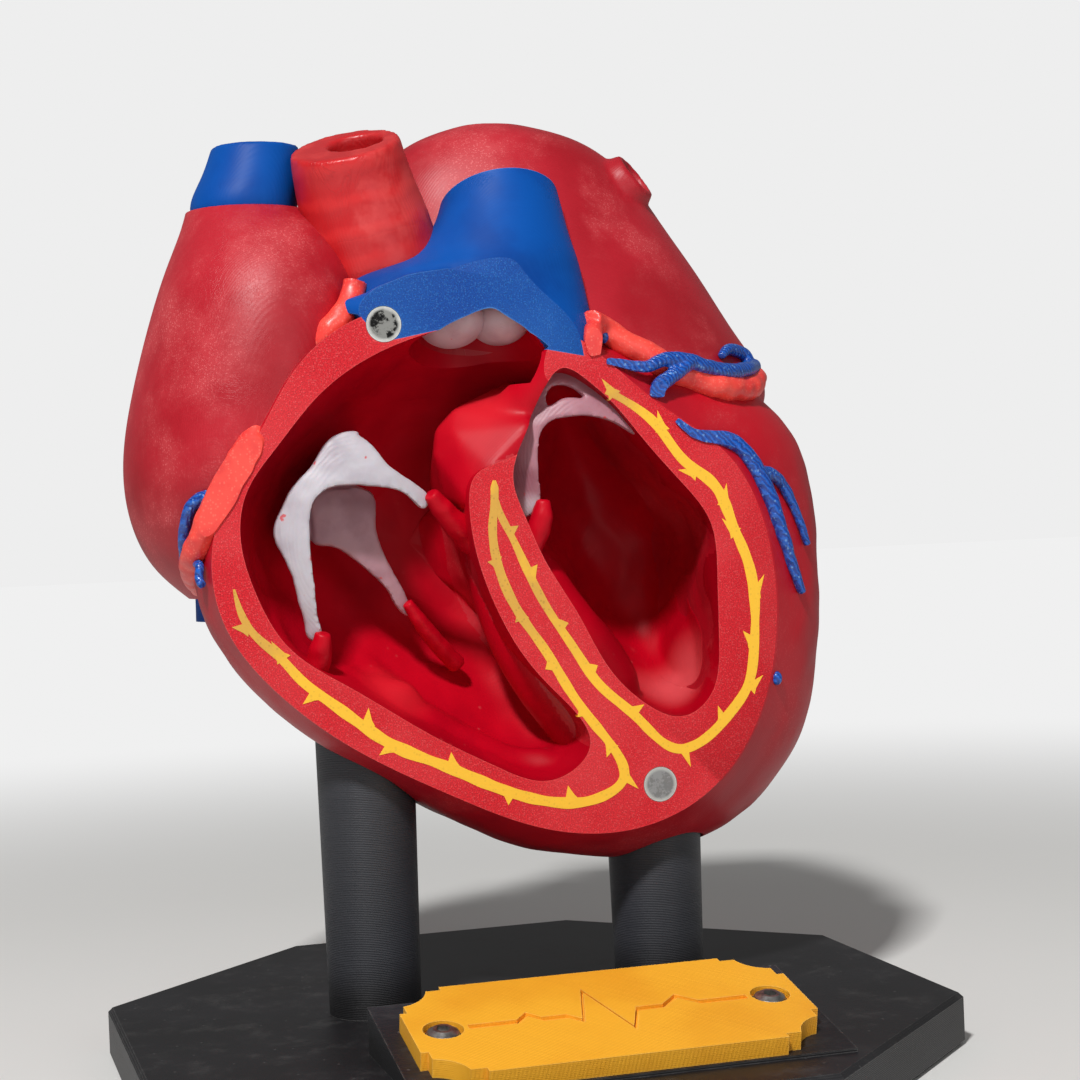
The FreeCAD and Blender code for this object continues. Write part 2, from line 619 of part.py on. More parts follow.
RIGHT_THORNS = [((-4.2, 83.8), (-5.3, 87)), ((-1.8, 76.3), (-0.6, 77.6)), ((3.3, 67.9), (4.4, 68.6)),
                ((8.7, 59.4), (9.8, 60.4)), ((13.5, 52.2), (14.3, 54.2)), ((18.6, 46.2), (16.2, 48.6)),
                ((6.2, 47), (6.6, 44.8)), ((-4.6, 45.3), (-4.4, 47.1)), ((-14.3, 54.2), (-14.2, 52)),
                ((-26.4, 55.2), (-24.5, 56.4)), ((-28.3, 62.6), (-28.6, 60)), ((-39, 64.6), (-37, 66)),
                ((-44, 74.8), (-42.2, 71.9)), ((-50.2, 77.7), (-47.8, 77.4))]


def ribbon(points, half):
    """Flat face of even width along a line that lies in one upright plane."""
    left, right = [], []
    for i, point in enumerate(points):
        along = points[min(i + 1, len(points) - 1)] - points[max(i - 1, 0)]
        along.normalize()
        aside = Vector(-along.z, 0, along.x) * half
        left.append(point + aside)
        right.append(point - aside)
    curves = []
    for edge in (left, right[::-1]):
        curve = Part.BSplineCurve()
        curve.interpolate(Points=edge)
        curves.append(curve.toShape())
    ends = [Part.makeLine(left[-1], right[-1]), Part.makeLine(right[0], left[0])]
    return Part.Face(Part.Wire([curves[0], ends[0], curves[1], ends[1]]))


def strand(line, thorns):
    """Inlaid branching strand, flush with the cut face."""
    half, inward = size("strand_width") / 2, Vector(0, size("strand_depth"), 0)
    solid = ribbon([place(x, DRAWN_FACE, z) for x, z in line], half).extrude(inward)
    for tip, root in thorns:
        tip, root = place(tip[0], DRAWN_FACE, tip[1]), place(root[0], DRAWN_FACE, root[1])
        along = root - tip
        along.normalize()
        aside = Vector(-along.z, 0, along.x) * half * 1.3
        spike = Part.Face(Part.makePolygon([tip, root + aside, root - aside, tip]))
        solid = solid.fuse(spike.extrude(inward))
    return solid.removeSplitter()


left_strand = strand(LEFT_STRAND, LEFT_THORNS)
right_strand = strand(RIGHT_STRAND, RIGHT_THORNS)

MAGNETS = {"upper_magnet": (-22.9, 127.3), "apex_magnet": (23.0, 46.4)}


def make_magnet(name, across, height):
    """Disc let into the cut face, its own face flush."""
    magnet = doc.addObject("Part::Cylinder", name)
    magnet.Label = name
    magnet.setExpression("Radius", "sizes.magnet_diameter / 2")
    magnet.setExpression("Height", "sizes.magnet_thickness")
    magnet.Placement = FreeCAD.Placement(place(across, DRAWN_FACE, height),
                                         FreeCAD.Rotation(Vector(1, 0, 0), -90))
    return magnet


magnets = [make_magnet(name, *where) for name, where in MAGNETS.items()]
doc.recompute()
magnet_holes = [magnet.Shape.copy() for magnet in magnets]

# ---------------------------------------------------------------- heart: pieces


def add_piece(name, shape):
    """Puts a finished shape into the document under its own name."""
    piece = doc.addObject("Part::Feature", name)
    piece.Label = name
    piece.Shape = shape
    piece.Placement = FreeCAD.Placement()
    return piece


lung_veins = []
LUNG_VEINS = [((25.6, 21, 151.6), (31.8, 15.8, 157)), ((28, 36, 138), (37, 46, 145)),
              ((-6, 36, 152), (-16, 46, 158)), ((-8, 40, 136), (-20, 50, 138))]
for inner, outer in LUNG_VEINS:
    start, end = place(*inner), place(*outer)
    stub, bore = size("lung_vein_diameter") / 2, size("lung_vein_bore") / 2
    lung_veins.append((tube([start, start + (end - start) * 0.5, end], [stub * 1.5, stub * 1.17, stub]),
                       tube([start + (end - start) * 0.45, start + (end - start) * 0.8,
                             end + (end - start) * 0.1], [bore, bore])))

HEART_CORE = (10, 25, 100)


def lifted(path, lift=0.0):
    """A drawn path in its real place, each point moved out from the heart's core."""
    points = []
    for point in path:
        at = place(*point)
        outward = at - place(*HEART_CORE)
        points.append(at + outward.normalize() * lift)
    return points


def vessel(path, width, shares, lift=0.25):
    """Vessel lying in a groove of the surface; shares taper its width along the path."""
    radii = [width / 2 * share for share in shares]
    return tube(lifted(path, width * lift), radii).common(behind_face)


artery, vein, sinus = size("artery_diameter"), size("vein_diameter"), size("sinus_diameter")

RIGHT_ARTERY = [(-25.6, -3.9, 134.5), (-26.2, -4.2, 132.3), (-29.4, -6.1, 127.6), (-34.2, -3.6, 122),
                (-39.3, -2.6, 115.2), (-44, -7, 108.8), (-48.2, -9.4, 103.2), (-50.8, -9.2, 98.8),
                (-52.8, -8.2, 95), (-54, -5.6, 91.5), (-54.6, -1.5, 88.8), (-54.2, 3, 86.8),
                (-52, 11, 84)]
LEFT_ARTERY = [(14.3, -6.8, 126.9), (17.6, -3.9, 125.7), (20.8, -4.1, 123.4), (24.1, -4.7, 121.4),
               (28.5, -4.9, 118.8), (33.5, -3.9, 117), (38.9, -3, 115.5), (43.2, -0.5, 115.2),
               (47, 2.7, 115.9), (49.5, 7, 117.3), (51.5, 14, 116)]
LEFT_ARTERY_KNOB = [(17, -4, 126.4), (14.6, -7.1, 125.3), (13.8, -9.1, 123), (14, -9.9, 120.9)]
REAR_ARTERY = [(-16, 39, 101), (-14, 43, 95), (-9, 46.6, 86), (-2, 48, 76), (6, 47.5, 66),
               (14, 43.8, 54)]
GREAT_VEIN = [(16.1, -9.8, 120), (19.7, -8.7, 119.4), (24.5, -6.5, 119), (27, -4.9, 119.9),
              (31.5, -3.5, 120.4), (35.7, -2.6, 119.2), (39.6, -1.2, 118.4), (43.9, 1.1, 118.4),
              (47.5, 4, 119.1), (50.5, 9.5, 119.6), (53, 17, 118.3), (54.5, 24, 112.5)]
GREAT_VEIN_FRONT = [(32.6, -3.7, 119.8), (30.3, -4.5, 118.3), (27.6, -6.6, 116.8),
                    (25.4, -8.7, 115.2), (25, -9.6, 113.7)]
GREAT_VEIN_HOOK = [(48.3, 5.2, 119.3), (47.8, 5.9, 121.5), (45.5, 4.7, 122.5), (42.9, 2.6, 122.4),
                   (41.2, 0.9, 121.2)]
LEFT_EDGE_VEIN = [(28.3, -9.8, 109.7), (31.9, -9.9, 107.1), (37.4, -9.1, 106.2), (42.7, -8.5, 101.8),
                  (45.1, -8.5, 96.9), (47.3, -8.5, 90.6), (49.5, -7.6, 84.5), (52, -6.3, 78.6)]
LEFT_EDGE_FORK = [(44.2, -8.1, 100.4), (47.9, -6.6, 99), (50.4, -5.5, 95.9), (53.2, -4.6, 90),
                  (54.3, -4.1, 87)]
SMALL_VEIN = [(-51.7, -6.4, 99.6), (-54.1, -4.6, 98.6), (-55.4, -2.6, 95.5), (-55.6, 0.2, 91.1),
              (-55.1, 2.9, 87.7)]
SMALL_VEIN_CURL = [(-55.4, 0.6, 90.2), (-54.3, -4, 88.8), (-54.1, -7.1, 87.8), (-54.2, -7, 86.2),
                   (-53.9, -8, 85.2)]
SINUS = [(55, 23.5, 113), (54, 28, 107.5), (46, 34, 103.8), (32, 40.3, 102.4), (16, 43, 102),
         (0, 42, 102), (-12, 39.4, 102.2), (-22, 35.4, 102.6), (-31, 29, 103)]
MIDDLE_VEIN = [(-6, 41, 101), (-3, 45.2, 93), (3, 48, 82), (10, 48, 70), (17, 45.4, 59)]

right_artery = vessel(RIGHT_ARTERY, artery, [0.8, 1, 1, 1, 0.9, 0.5])
left_artery = vessel(LEFT_ARTERY, artery, [0.8, 1, 1, 1, 0.8])
left_artery = left_artery.fuse(vessel(LEFT_ARTERY_KNOB, artery, [0.6, 0.65, 0.7, 0.45]))
rear_artery = vessel(REAR_ARTERY, artery, [0.85, 0.7, 0.4])
sinus_tube = vessel(SINUS, sinus, [0.5, 0.75, 0.95, 1, 0.9], 0.12)
great_vein = vessel(GREAT_VEIN, vein, [0.35, 0.8, 0.85, 0.95, 1, 1])
for branch, shares in ((GREAT_VEIN_FRONT, [0.9, 0.85, 0.85]), (GREAT_VEIN_HOOK, [0.8, 0.7, 0.45])):
    great_vein = great_vein.fuse(vessel(branch, vein, shares))
edge_vein = vessel(LEFT_EDGE_VEIN, vein, [0.3, 0.85, 0.9, 0.7, 0.45])
edge_vein = largest(edge_vein.fuse(vessel(LEFT_EDGE_FORK, vein, [0.7, 0.55, 0.35])))
small_vein = vessel(SMALL_VEIN, vein, [0.7, 0.65, 0.55, 0.45], 0.4)
small_vein = small_vein.fuse(vessel(SMALL_VEIN_CURL, vein, [0.45, 0.45, 0.45], 0.4))
middle_vein = vessel(MIDDLE_VEIN, vein, [0.9, 0.75, 0.55], 0.15)

vessels = {
    "right_coronary_artery": cut(right_artery, small_vein),
    "left_coronary_artery": cut(left_artery, great_vein, sinus_tube),
    "posterior_descending_artery": rear_artery,
    "great_cardiac_vein": great_vein,
    "left_marginal_vein": edge_vein,
    "small_cardiac_vein": small_vein,
    "coronary_sinus": cut(sinus_tube, great_vein, rear_artery),
    "middle_cardiac_vein": cut(middle_vein, sinus_tube, rear_artery),
}
grooves = list(vessels.values())

# ---------------------------------------------------------------- heart: valves

THIN = size("leaflet_thickness")

# Front leaflet of the tricuspid valve, and the one behind it.
FRONT_LEAFLET = [(-31, 109), (-27, 109.8), (-23, 107.8), (-18.8, 103.2), (-13.8, 98.6), (-15, 96.4),
                 (-20, 98.2), (-26, 99.6), (-31.5, 99.2), (-34.3, 95), (-34.6, 87), (-33.6, 79),
                 (-33, 73), (-36.2, 74.5), (-38.3, 82), (-39.3, 88.5), (-41, 93.5), (-38.6, 99),
                 (-34.6, 104)]
REAR_LEAFLET = [(-34, 99), (-28, 101), (-22.6, 99), (-22.6, 91), (-19, 83), (-16.4, 77.2),
                (-19.6, 79.8), (-25, 85.4), (-30, 89.4), (-35, 91)]
# Mitral valve's collar, open towards the left chamber.
MITRAL_COLLAR = [(21.9, 108.2), (18.7, 109.4), (16.1, 110.5), (12.3, 111.2), (8.5, 111), (6.1, 110.2),
                 (4.7, 108.4), (4.1, 105.5), (3.9, 102), (4.3, 98.5), (3.4, 94.4), (0.8, 94.2),
                 (-1, 98), (-1.5, 102), (0, 106.5), (2.5, 112), (6, 118.5), (11, 119.5),
                 (16, 115.5), (22.5, 109.5)]
MITRAL_WINDOW = [(6.3, 113), (6.8, 115.8), (9.2, 116.8), (12, 115.6), (13.2, 114.2), (9.4, 114.2)]

# Where each leaflet is hinged: its edge, carried back to the chamber's wall.
FRONT_HINGE = [(-27, 108.9), (-31, 108.2), (-34, 103.6), (-37.9, 98.6), (-40.2, 93.4), (-38.8, 89)]
REAR_HINGE = [(-34.2, 91.6), (-33.3, 98.6), (-28, 100.3), (-23.2, 98.4)]
HINGE_RUN = Vector(6 * ACROSS, 26 * BACK, 0)

chamber_walls = cut(muscle_full, left_hollow, right_hollow)

# Two pouches of the pulmonary valve, bulging down into the right ventricle.
CUSPS = [((-9, -1, 129), (6, 7.5, 5.3)), ((-0.2, -1, 129), (5.4, 7.5, 4.9))]
CUSP_TOP = 131.5
below_cusp_top = Part.makeBox(FAR, FAR, FAR, place(0, 0, CUSP_TOP) - Vector(FAR / 2, FAR / 2, FAR))
trunk_wall = trunk_full.cut(trunk_hollow)

cusps = []
for middle, half_axes in CUSPS:
    pouch = bowl(middle, half_axes, THIN).common(trunk_hollow).common(below_cusp_top)
    cusps.append(largest(cut(pouch.common(behind_face), chamber_walls, trunk_wall)))
cusps[1] = largest(cut(cusps[1], cusps[0]))


def leaflet(shell, outline, reach, hinge=(), hinge_y=0.0):
    """Part of a thin bowl inside an outline, with its hinge run back to the wall."""
    sheet_part = shell.common(cookie(outline, *reach))
    if hinge:
        band = ribbon([place(x, hinge_y, z) for x, z in hinge], THIN / 2)
        sheet_part = sheet_part.fuse(band.extrude(HINGE_RUN))
    return largest(cut(sheet_part, chamber_walls))


front_leaflet = leaflet(bowl((-27, 12, 92), (24, 20, 32), THIN), FRONT_LEAFLET, (-9.5, 6),
                        FRONT_HINGE, -4.6)
rear_leaflet = cut(leaflet(bowl((-27, 18, 90), (24, 15, 32), THIN), REAR_LEAFLET, (-5, 14),
                           REAR_HINGE, 4.6), front_leaflet)
mitral_shell = bowl((14, 12, 104), (22, 20, 24), THIN).cut(cookie(MITRAL_WINDOW, -9.5, 10))
mitral_valve = leaflet(mitral_shell, MITRAL_COLLAR, (-9.5, 10))

# Papillary muscles: slim cords of flesh from a leaflet's tip to the chamber's wall,
# each a path and how its thickness grows.
PAPILLARIES = {
    "upper_papillary_muscle": ([(-14.2, -5.4, 97.6), (-11.5, -4, 94.4), (-6.5, -1.5, 90)],
                               (0.55, 1, 1.25)),
    "lower_papillary_muscle": ([(-34.4, -4.4, 74.6), (-35, -3, 71.4), (-36.6, 1, 66)],
                               (0.55, 1, 1.25)),
    "rear_papillary_muscle": ([(-17.2, 4.6, 79.2), (-14, 6.4, 75), (-7.4, 11, 68)],
                              (0.55, 1, 1.25)),
    "mitral_papillary_muscle": ([(4.5, -6, 96), (4, -5.4, 92.6), (1.5, -3.6, 87)],
                                (0.7, 0.85, 1.1)),
}
valves = [front_leaflet, rear_leaflet, mitral_valve]
papillaries = {}
for name, (path, shares) in PAPILLARIES.items():
    thick = size("papillary_diameter") / 2
    flesh = tube([place(*point) for point in path], [thick * share for share in shares])
    papillaries[name] = largest(cut(flesh, chamber_walls, *valves))
papillaries["left_wall_papillary_muscle"] = largest(
    cut(ellipsoid((40, 10, 67), 12, 13, 15), chamber_walls))

# ---------------------------------------------------------------- heart: assembly

bore, bore_depth = size("cava_bore") / 2, size("cava_bore_depth")
upper_mouth, lower_mouth = place(-38.7, 17.5, 161.5), place(-42.5, 38.5, 77)
upper_bore = Part.makeCylinder(bore, 2 * bore_depth, upper_mouth - Vector(0, 0, bore_depth))
lower_bore = Part.makeCylinder(bore, 2 * bore_depth, lower_mouth - Vector(0, 0, bore_depth))

muscle = cut(chamber_walls, trunk_full, trunk_hollow, *sockets)
muscle = cut(muscle, lower_cava_full, lower_bore, left_strand, right_strand, *magnet_holes, *grooves)
add_piece("ventricle_wall", largest(muscle))

trunk = cut(trunk_full, trunk_hollow, right_hollow, *magnet_holes, *grooves)
add_piece("pulmonary_trunk", largest(trunk))

aorta = cut(aorta_full, muscle_full, trunk_column, aorta_hollow, *grooves)
add_piece("ascending_aorta", largest(aorta))

right_atrium = largest(cut(right_atrium_full, muscle_full, trunk_column, aorta_full, *grooves))
add_piece("right_atrium", right_atrium)

upper_cava = cut(upper_cava_full, right_atrium_full, aorta_full, upper_bore)
add_piece("superior_vena_cava", largest(upper_cava))
lower_cava = cut(lower_cava_full, right_atrium, lower_bore)
add_piece("inferior_vena_cava", largest(lower_cava))

left_atrium = left_atrium_full
for stub, _ in lung_veins:
    left_atrium = left_atrium.fuse(stub)
left_atrium = cut(left_atrium, muscle_full, trunk_column, aorta_full, right_atrium_full,
                  upper_cava_full, *[hollow for _, hollow in lung_veins], *grooves)
add_piece("left_atrium", largest(left_atrium))

for name, shape in vessels.items():
    add_piece(name, shape)
for name, shape in papillaries.items():
    add_piece(name, shape)
add_piece("left_pulmonary_cusp", cusps[0])
add_piece("right_pulmonary_cusp", cusps[1])
add_piece("tricuspid_front_leaflet", front_leaflet)
add_piece("tricuspid_rear_leaflet", rear_leaflet)
add_piece("mitral_valve", mitral_valve)
add_piece("left_conduction_strand", left_strand)
add_piece("right_conduction_strand", right_strand)

doc.recompute()

PIECE_TYPES = ("PartDesign::Body", "Part::Feature", "Part::Cylinder")
pieces = [item for item in doc.Objects if item.TypeId in PIECE_TYPES]
for item in doc.Objects:
    if "Invalid" in item.State or "Error" in item.State:
        raise RuntimeError(f"{item.Label} did not rebuild: {item.State}")
for piece in pieces:
    if piece.Shape.isNull() or not piece.Shape.isValid() or len(piece.Shape.Solids) != 1:
        raise RuntimeError(f"{piece.Label} is not one sound solid")

os.makedirs("parts", exist_ok=True)
for piece in pieces:
    piece.Shape.exportStep(f"parts/{piece.Label}.step")
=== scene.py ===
import math

import bmesh
import bpy
import numpy as np
from mathutils import Matrix, Vector, noise


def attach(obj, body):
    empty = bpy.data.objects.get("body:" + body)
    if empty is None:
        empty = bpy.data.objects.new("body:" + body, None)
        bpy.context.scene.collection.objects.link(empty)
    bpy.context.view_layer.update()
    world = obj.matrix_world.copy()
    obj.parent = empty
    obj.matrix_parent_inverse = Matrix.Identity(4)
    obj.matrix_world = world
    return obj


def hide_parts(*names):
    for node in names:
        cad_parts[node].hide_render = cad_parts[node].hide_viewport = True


# Finishes and sculpted surfaces for the rear half of a heart model on its stand.
# Lengths in the tables are millimetres; meshes are built in metres.

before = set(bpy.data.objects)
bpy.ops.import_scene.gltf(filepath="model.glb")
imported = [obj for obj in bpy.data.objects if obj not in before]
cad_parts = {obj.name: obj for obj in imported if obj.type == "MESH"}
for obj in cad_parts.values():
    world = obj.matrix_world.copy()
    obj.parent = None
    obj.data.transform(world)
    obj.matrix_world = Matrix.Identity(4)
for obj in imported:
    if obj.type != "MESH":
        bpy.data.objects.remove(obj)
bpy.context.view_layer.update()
MM = 0.001
FACE = -10.0          # the flat cut face's y

# ---------------------------------------------------------------- smooth lines and lofts


def second_slopes(values, steps, closed):
    """Second derivatives of the cubic spline through values, by one linear solve."""
    count = len(values)
    system = np.zeros((count, count))
    right = np.zeros_like(values)
    inner = range(count) if closed else range(1, count - 1)
    for i in inner:
        before, after = steps[i - 1], steps[i]
        system[i, i - 1] += before
        system[i, i] += 2 * (before + after)
        system[i, (i + 1) % count] += after
        right[i] = 6 * ((values[(i + 1) % count] - values[i]) / after
                        - (values[i] - values[i - 1]) / before)
    if not closed:
        system[0, 0] = system[-1, -1] = 1
    return np.linalg.solve(system, right)


def resample(values, steps, count, closed=False):
    """count rows, evenly spaced in steps, on the cubic spline through rows of values."""
    bend = second_slopes(values, steps, closed)
    total = steps.sum() if closed else steps[:-1].sum()
    starts = np.concatenate([[0], np.cumsum(steps)])
    line = []
    for along in np.linspace(0, total, count, endpoint=not closed):
        i = min(int(np.searchsorted(starts, along, "right")) - 1, len(values) - (1 if closed else 2))
        nxt, step = (i + 1) % len(values), steps[i]
        b = (along - starts[i]) / step
        a = 1 - b
        line.append(a * values[i] + b * values[nxt]
                    + ((a ** 3 - a) * bend[i] + (b ** 3 - b) * bend[nxt]) * step ** 2 / 6)
    return np.array(line)


def spline(points, count, closed=False):
    """count points, evenly spaced in chord length, on the smooth line through points."""
    values = np.asarray(points, float)
    steps = np.linalg.norm(np.roll(values, -1, axis=0) - values, axis=1)
    if not closed:
        steps[-1] = steps[-2]
    return resample(values, steps, count, closed)


def across_rings(rings, count):
    """count rings on the smooth surface through a few rings."""
    rings = np.asarray(rings)
    steps = np.array([np.linalg.norm(b - a, axis=1).mean() for a, b in zip(rings, rings[1:])])
    return resample(rings.reshape(len(rings), -1), np.append(steps, steps[-1]), count).reshape(count, -1, 3)


def skin(name, rings, around=160, along=90):
    """Closed smooth body, in metres, through closed rings given in millimetres."""
    grid = across_rings([spline(ring, around, True) for ring in rings], along) * MM
    return grid_body(name, grid)


def grid_body(name, grid):
    """Closed mesh from a grid of rings, with a fan over each end."""
    along, around = grid.shape[:2]
    points = [tuple(point) for ring in grid for point in ring]
    points += [tuple(grid[0].mean(axis=0)), tuple(grid[-1].mean(axis=0))]
    faces = []
    for i in range(along - 1):
        for k in range(around):
            nxt = (k + 1) % around
            faces.append((i * around + k, i * around + nxt, (i + 1) * around + nxt, (i + 1) * around + k))
    first, last, top = len(points) - 2, len(points) - 1, (along - 1) * around
    faces += [(first, (k + 1) % around, k) for k in range(around)]
    faces += [(last, top + k, top + (k + 1) % around) for k in range(around)]
    return body(name, points, faces)


def placed(name, data):
    """New object in the scene."""
    piece = bpy.data.objects.new(name, data)
    bpy.context.scene.collection.objects.link(piece)
    return piece


def placed_form(name, work):
    """New piece from a finished edit mesh."""
    mesh = bpy.data.meshes.new(name)
    work.to_mesh(mesh)
    work.free()
    return placed(name, mesh)


def body(name, points, faces):
    """Closed piece from points in metres, its faces turned outwards."""
    mesh = bpy.data.meshes.new(name)
    mesh.from_pydata(points, [], faces)
    work = bmesh.new()
    work.from_mesh(mesh)
    bmesh.ops.recalc_face_normals(work, faces=work.faces)
    if work.calc_volume(signed=True) < 0:
        bmesh.ops.reverse_faces(work, faces=work.faces)
    work.to_mesh(mesh)
    work.free()
    return placed(name, mesh)


def level_ring(z, left, right, front, back, corner=1.0, count=12):
    """Rounded outline at one height; corner above 1 squares it up."""
    turns = np.linspace(0, 2 * math.pi, count, endpoint=False)
    across = np.sign(np.cos(turns)) * np.abs(np.cos(turns)) ** (1 / corner)
    along = np.sign(np.sin(turns)) * np.abs(np.sin(turns)) ** (1 / corner)
    return np.stack([(left + right) / 2 + (right - left) / 2 * across,
                     (front + back) / 2 + (back - front) / 2 * along, np.full(count, z)], axis=1)


def face_ring(y, outline, scale=1.0, about=(0, 0), shift=(0, 0)):
    """An outline of the cut face, carried back to y and drawn in about a point."""
    return [(about[0] + (x - about[0]) * scale + shift[0], y, about[1] + (z - about[1]) * scale + shift[1])
            for x, z in outline]


def tube(name, path, radii, around=24, along=70, rough=0.0):
    """Round vessel along a smooth line; rough makes its thickness wander like hand modelling."""
    line = spline(path, along)
    side = None
    grid = []
    for i, centre in enumerate(line):
        tangent = line[min(i + 1, along - 1)] - line[max(i - 1, 0)]
        tangent /= np.linalg.norm(tangent)
        if side is None:
            side = np.cross(tangent, (0.31, 0.17, 0.93))
        side = side - tangent * side.dot(tangent)
        side /= np.linalg.norm(side)
        other = np.cross(tangent, side)
        radius = np.interp(i / (along - 1), np.linspace(0, 1, len(radii)), radii)
        ring = []
        for k in range(around):
            turn = 2 * math.pi * k / around
            at = centre + side * math.cos(turn) * radius + other * math.sin(turn) * radius
            swell = 1 + rough * noise.noise(Vector(at) * 0.45)
            ring.append(centre + (at - centre) * swell)
        grid.append(ring)
    return grid_body(name, np.array(grid) * MM)


def ellipsoid(name, centre, half_axes, level=5):
    """Smooth ball, stretched."""
    work = bmesh.new()
    bmesh.ops.create_icosphere(work, subdivisions=level, radius=1.0)
    for vert in work.verts:
        vert.co = (Vector(c * h for c, h in zip(vert.co, half_axes)) + Vector(centre)) * MM
    return placed_form(name, work)


def slab(name, outline, front, back):
    """Prism with an outline in the cut face's plane, from front to back."""
    points = [(x * MM, y * MM, z * MM) for y in (front, back) for x, z in outline]
    count = len(outline)
    faces = [tuple(range(count)), tuple(range(2 * count - 1, count - 1, -1))]
    faces += [(k, (k + 1) % count, (k + 1) % count + count, k + count) for k in range(count)]
    return body(name, points, faces)


def smooth_slab(name, outline, front, back, count=160):
    """The same, its outline made smooth first."""
    return slab(name, [tuple(point) for point in spline(outline, count, True)], front, back)


def box(name, low, high):
    outline = [(low[0], low[2]), (high[0], low[2]), (high[0], high[2]), (low[0], high[2])]
    return slab(name, outline, low[1], high[1])


def combine(piece, tools, operation="DIFFERENCE"):
    """Applies booleans to a piece, keeping the tools."""
    for tool in tools:
        joined = piece.modifiers.new("join", "BOOLEAN")
        joined.operation = operation
        joined.object = tool
        joined.solver = "MANIFOLD"
    settle(piece)
    return piece


def settle(piece):
    """Turns a piece's modifiers into its mesh."""
    graph = bpy.context.evaluated_depsgraph_get()
    mesh = bpy.data.meshes.new_from_object(piece.evaluated_get(graph))
    piece.modifiers.clear()
    old, piece.data = piece.data, mesh
    bpy.data.meshes.remove(old)


def discard(*tools):
    for tool in tools:
        bpy.data.objects.remove(tool, do_unlink=True)


def vectors_of(items, key):
    """One vector of every point or face of a mesh, as rows."""
    flat = np.empty(len(items) * 3)
    items.foreach_get(key, flat)
    return flat.reshape(-1, 3)


def sculpt(piece, height):
    """Moves each point of a piece along its normal by height(point in mm), in mm."""
    points = vectors_of(piece.data.vertices, "co")
    normals = vectors_of(piece.data.vertex_normals, "vector")
    moved = np.array([height(Vector(point / MM)) for point in points])
    points = points + normals * moved[:, None] * MM
    piece.data.vertices.foreach_set("co", points.ravel())
    piece.data.update()


def lumps(point, size, seed=0.0):
    """Smooth hills and hollows about size mm across, from -1 to 1."""
    return noise.noise((point + Vector((seed, seed, seed))) / size * 2)


def near_line(point, line, reach):
    """1 on a broken line, falling smoothly to 0 at reach mm from it."""
    best = 1e9
    for a, b in zip(line, line[1:]):
        a, b = Vector(a), Vector(b)
        share = max(0.0, min(1.0, (point - a).dot(b - a) / (b - a).length_squared))
        best = min(best, (point - a - (b - a) * share).length)
    away = best / reach
    return 0.0 if away >= 1 else (1 - away * away) ** 2

# ---------------------------------------------------------------- heart: the forms

RIM = [(-27, 128.5), (-37, 121.5), (-45, 109), (-51, 98.5), (-53.5, 88), (-51.5, 77.5),
       (-44.5, 67.5), (-32, 57), (-15, 47.5), (3, 40), (18, 39), (32, 44.5), (42, 57),
       (46, 73), (45, 89), (38.5, 103), (26, 112.5), (13.5, 122.8), (0, 130), (-14, 131)]
GIRTH = [(-27, 122), (-38, 117), (-47, 107), (-52, 97), (-53.2, 87), (-50.8, 76),
         (-44, 65.5), (-32, 55), (-16, 43.5), (6, 34), (26, 32), (45, 37.5), (57.5, 52),
         (62, 72), (62.5, 91), (59, 107), (48, 117), (28, 120), (8, 121), (-12, 122)]
REAR = [(-20, 104), (-29, 102), (-37, 96), (-42, 90), (-44, 82), (-43, 73),
        (-37, 64), (-26, 55), (-12, 46), (7, 40), (24, 40), (38, 46), (47, 58),
        (51, 72), (51, 86), (46, 97), (36, 104), (20, 107), (4, 107), (-10, 106)]
HEART_MIDDLE = (4, 76)
RIGHT_CHAMBER = [(-14, 126), (-24, 122.5), (-34, 116), (-42, 107), (-47.3, 99.5), (-48.5, 92.5),
                 (-46.3, 83), (-41.5, 74.2), (-31, 66.5), (-18, 58), (-6, 51.4), (4, 48.7),
                 (10.3, 53.5), (3.4, 65), (-3.6, 75), (-7.6, 85), (-9.3, 95), (-8, 101.4),
                 (-4, 103.4), (1.5, 106), (5.4, 113), (8, 119), (3.5, 125)]
RIGHT_MIDDLE = (-20, 88)
LEFT_CHAMBER = [(8.4, 119.4), (12.8, 117), (17.4, 112.8), (22, 107.2), (29.3, 98.8), (34.2, 92),
                (35.2, 82), (35, 70), (33, 61.3), (28, 58), (21, 60.6), (14.5, 67.2), (9.2, 77),
                (3.7, 86.4), (0.3, 94.5), (-1.4, 101), (0.6, 107), (3.6, 113)]
LEFT_MIDDLE = (20, 86)

# Rows of (height, left, right, front, back).
TRUNK = [(119, -26, 17.5, -14, 9), (126, -27, 16.5, -14, 10), (132, -27.3, 16.1, -11.7, 11.5),
         (136, -25.5, 15.6, -10.7, 12.3), (139.5, -16.5, 15, -9.6, 13), (143, -12, 14.2, -8, 13.6),
         (149, -8.4, 13.5, -4.8, 15), (157, -6.3, 12.4, -1.2, 16.5)]
TRUNK_BORE = [(117, -15, 5, -12, 8), (122, -17, 6.2, -15, 8), (126, -15.8, 4.5, -14, 8),
              (129, -11, 1.5, -10.8, 8.5), (137, -7, 7.5, -5, 10), (147, -3.5, 9, 0.5, 13.5),
              (151, -2.6, 8.8, 0.8, 13.4), (155.5, 0, 8.4, 1, 13)]
TRUNK_TOP = [(-40, 177), (-1.5, 154.8), (40, 130.8), (40, 190), (-40, 190)]
TRUNK_FOOT = [(-40, 133), (-27.2, 129), (-25, 125.7), (-23, 124.4), (-20, 124.9), (-13.9, 126.1),
              (25, 119), (25, 100), (-40, 100)]
TRUNK_WING = [(-29, -6, 130.5), (-24, -8.2, 129.8), (-18, -9.4, 131), (-11, -8.8, 132.5)]
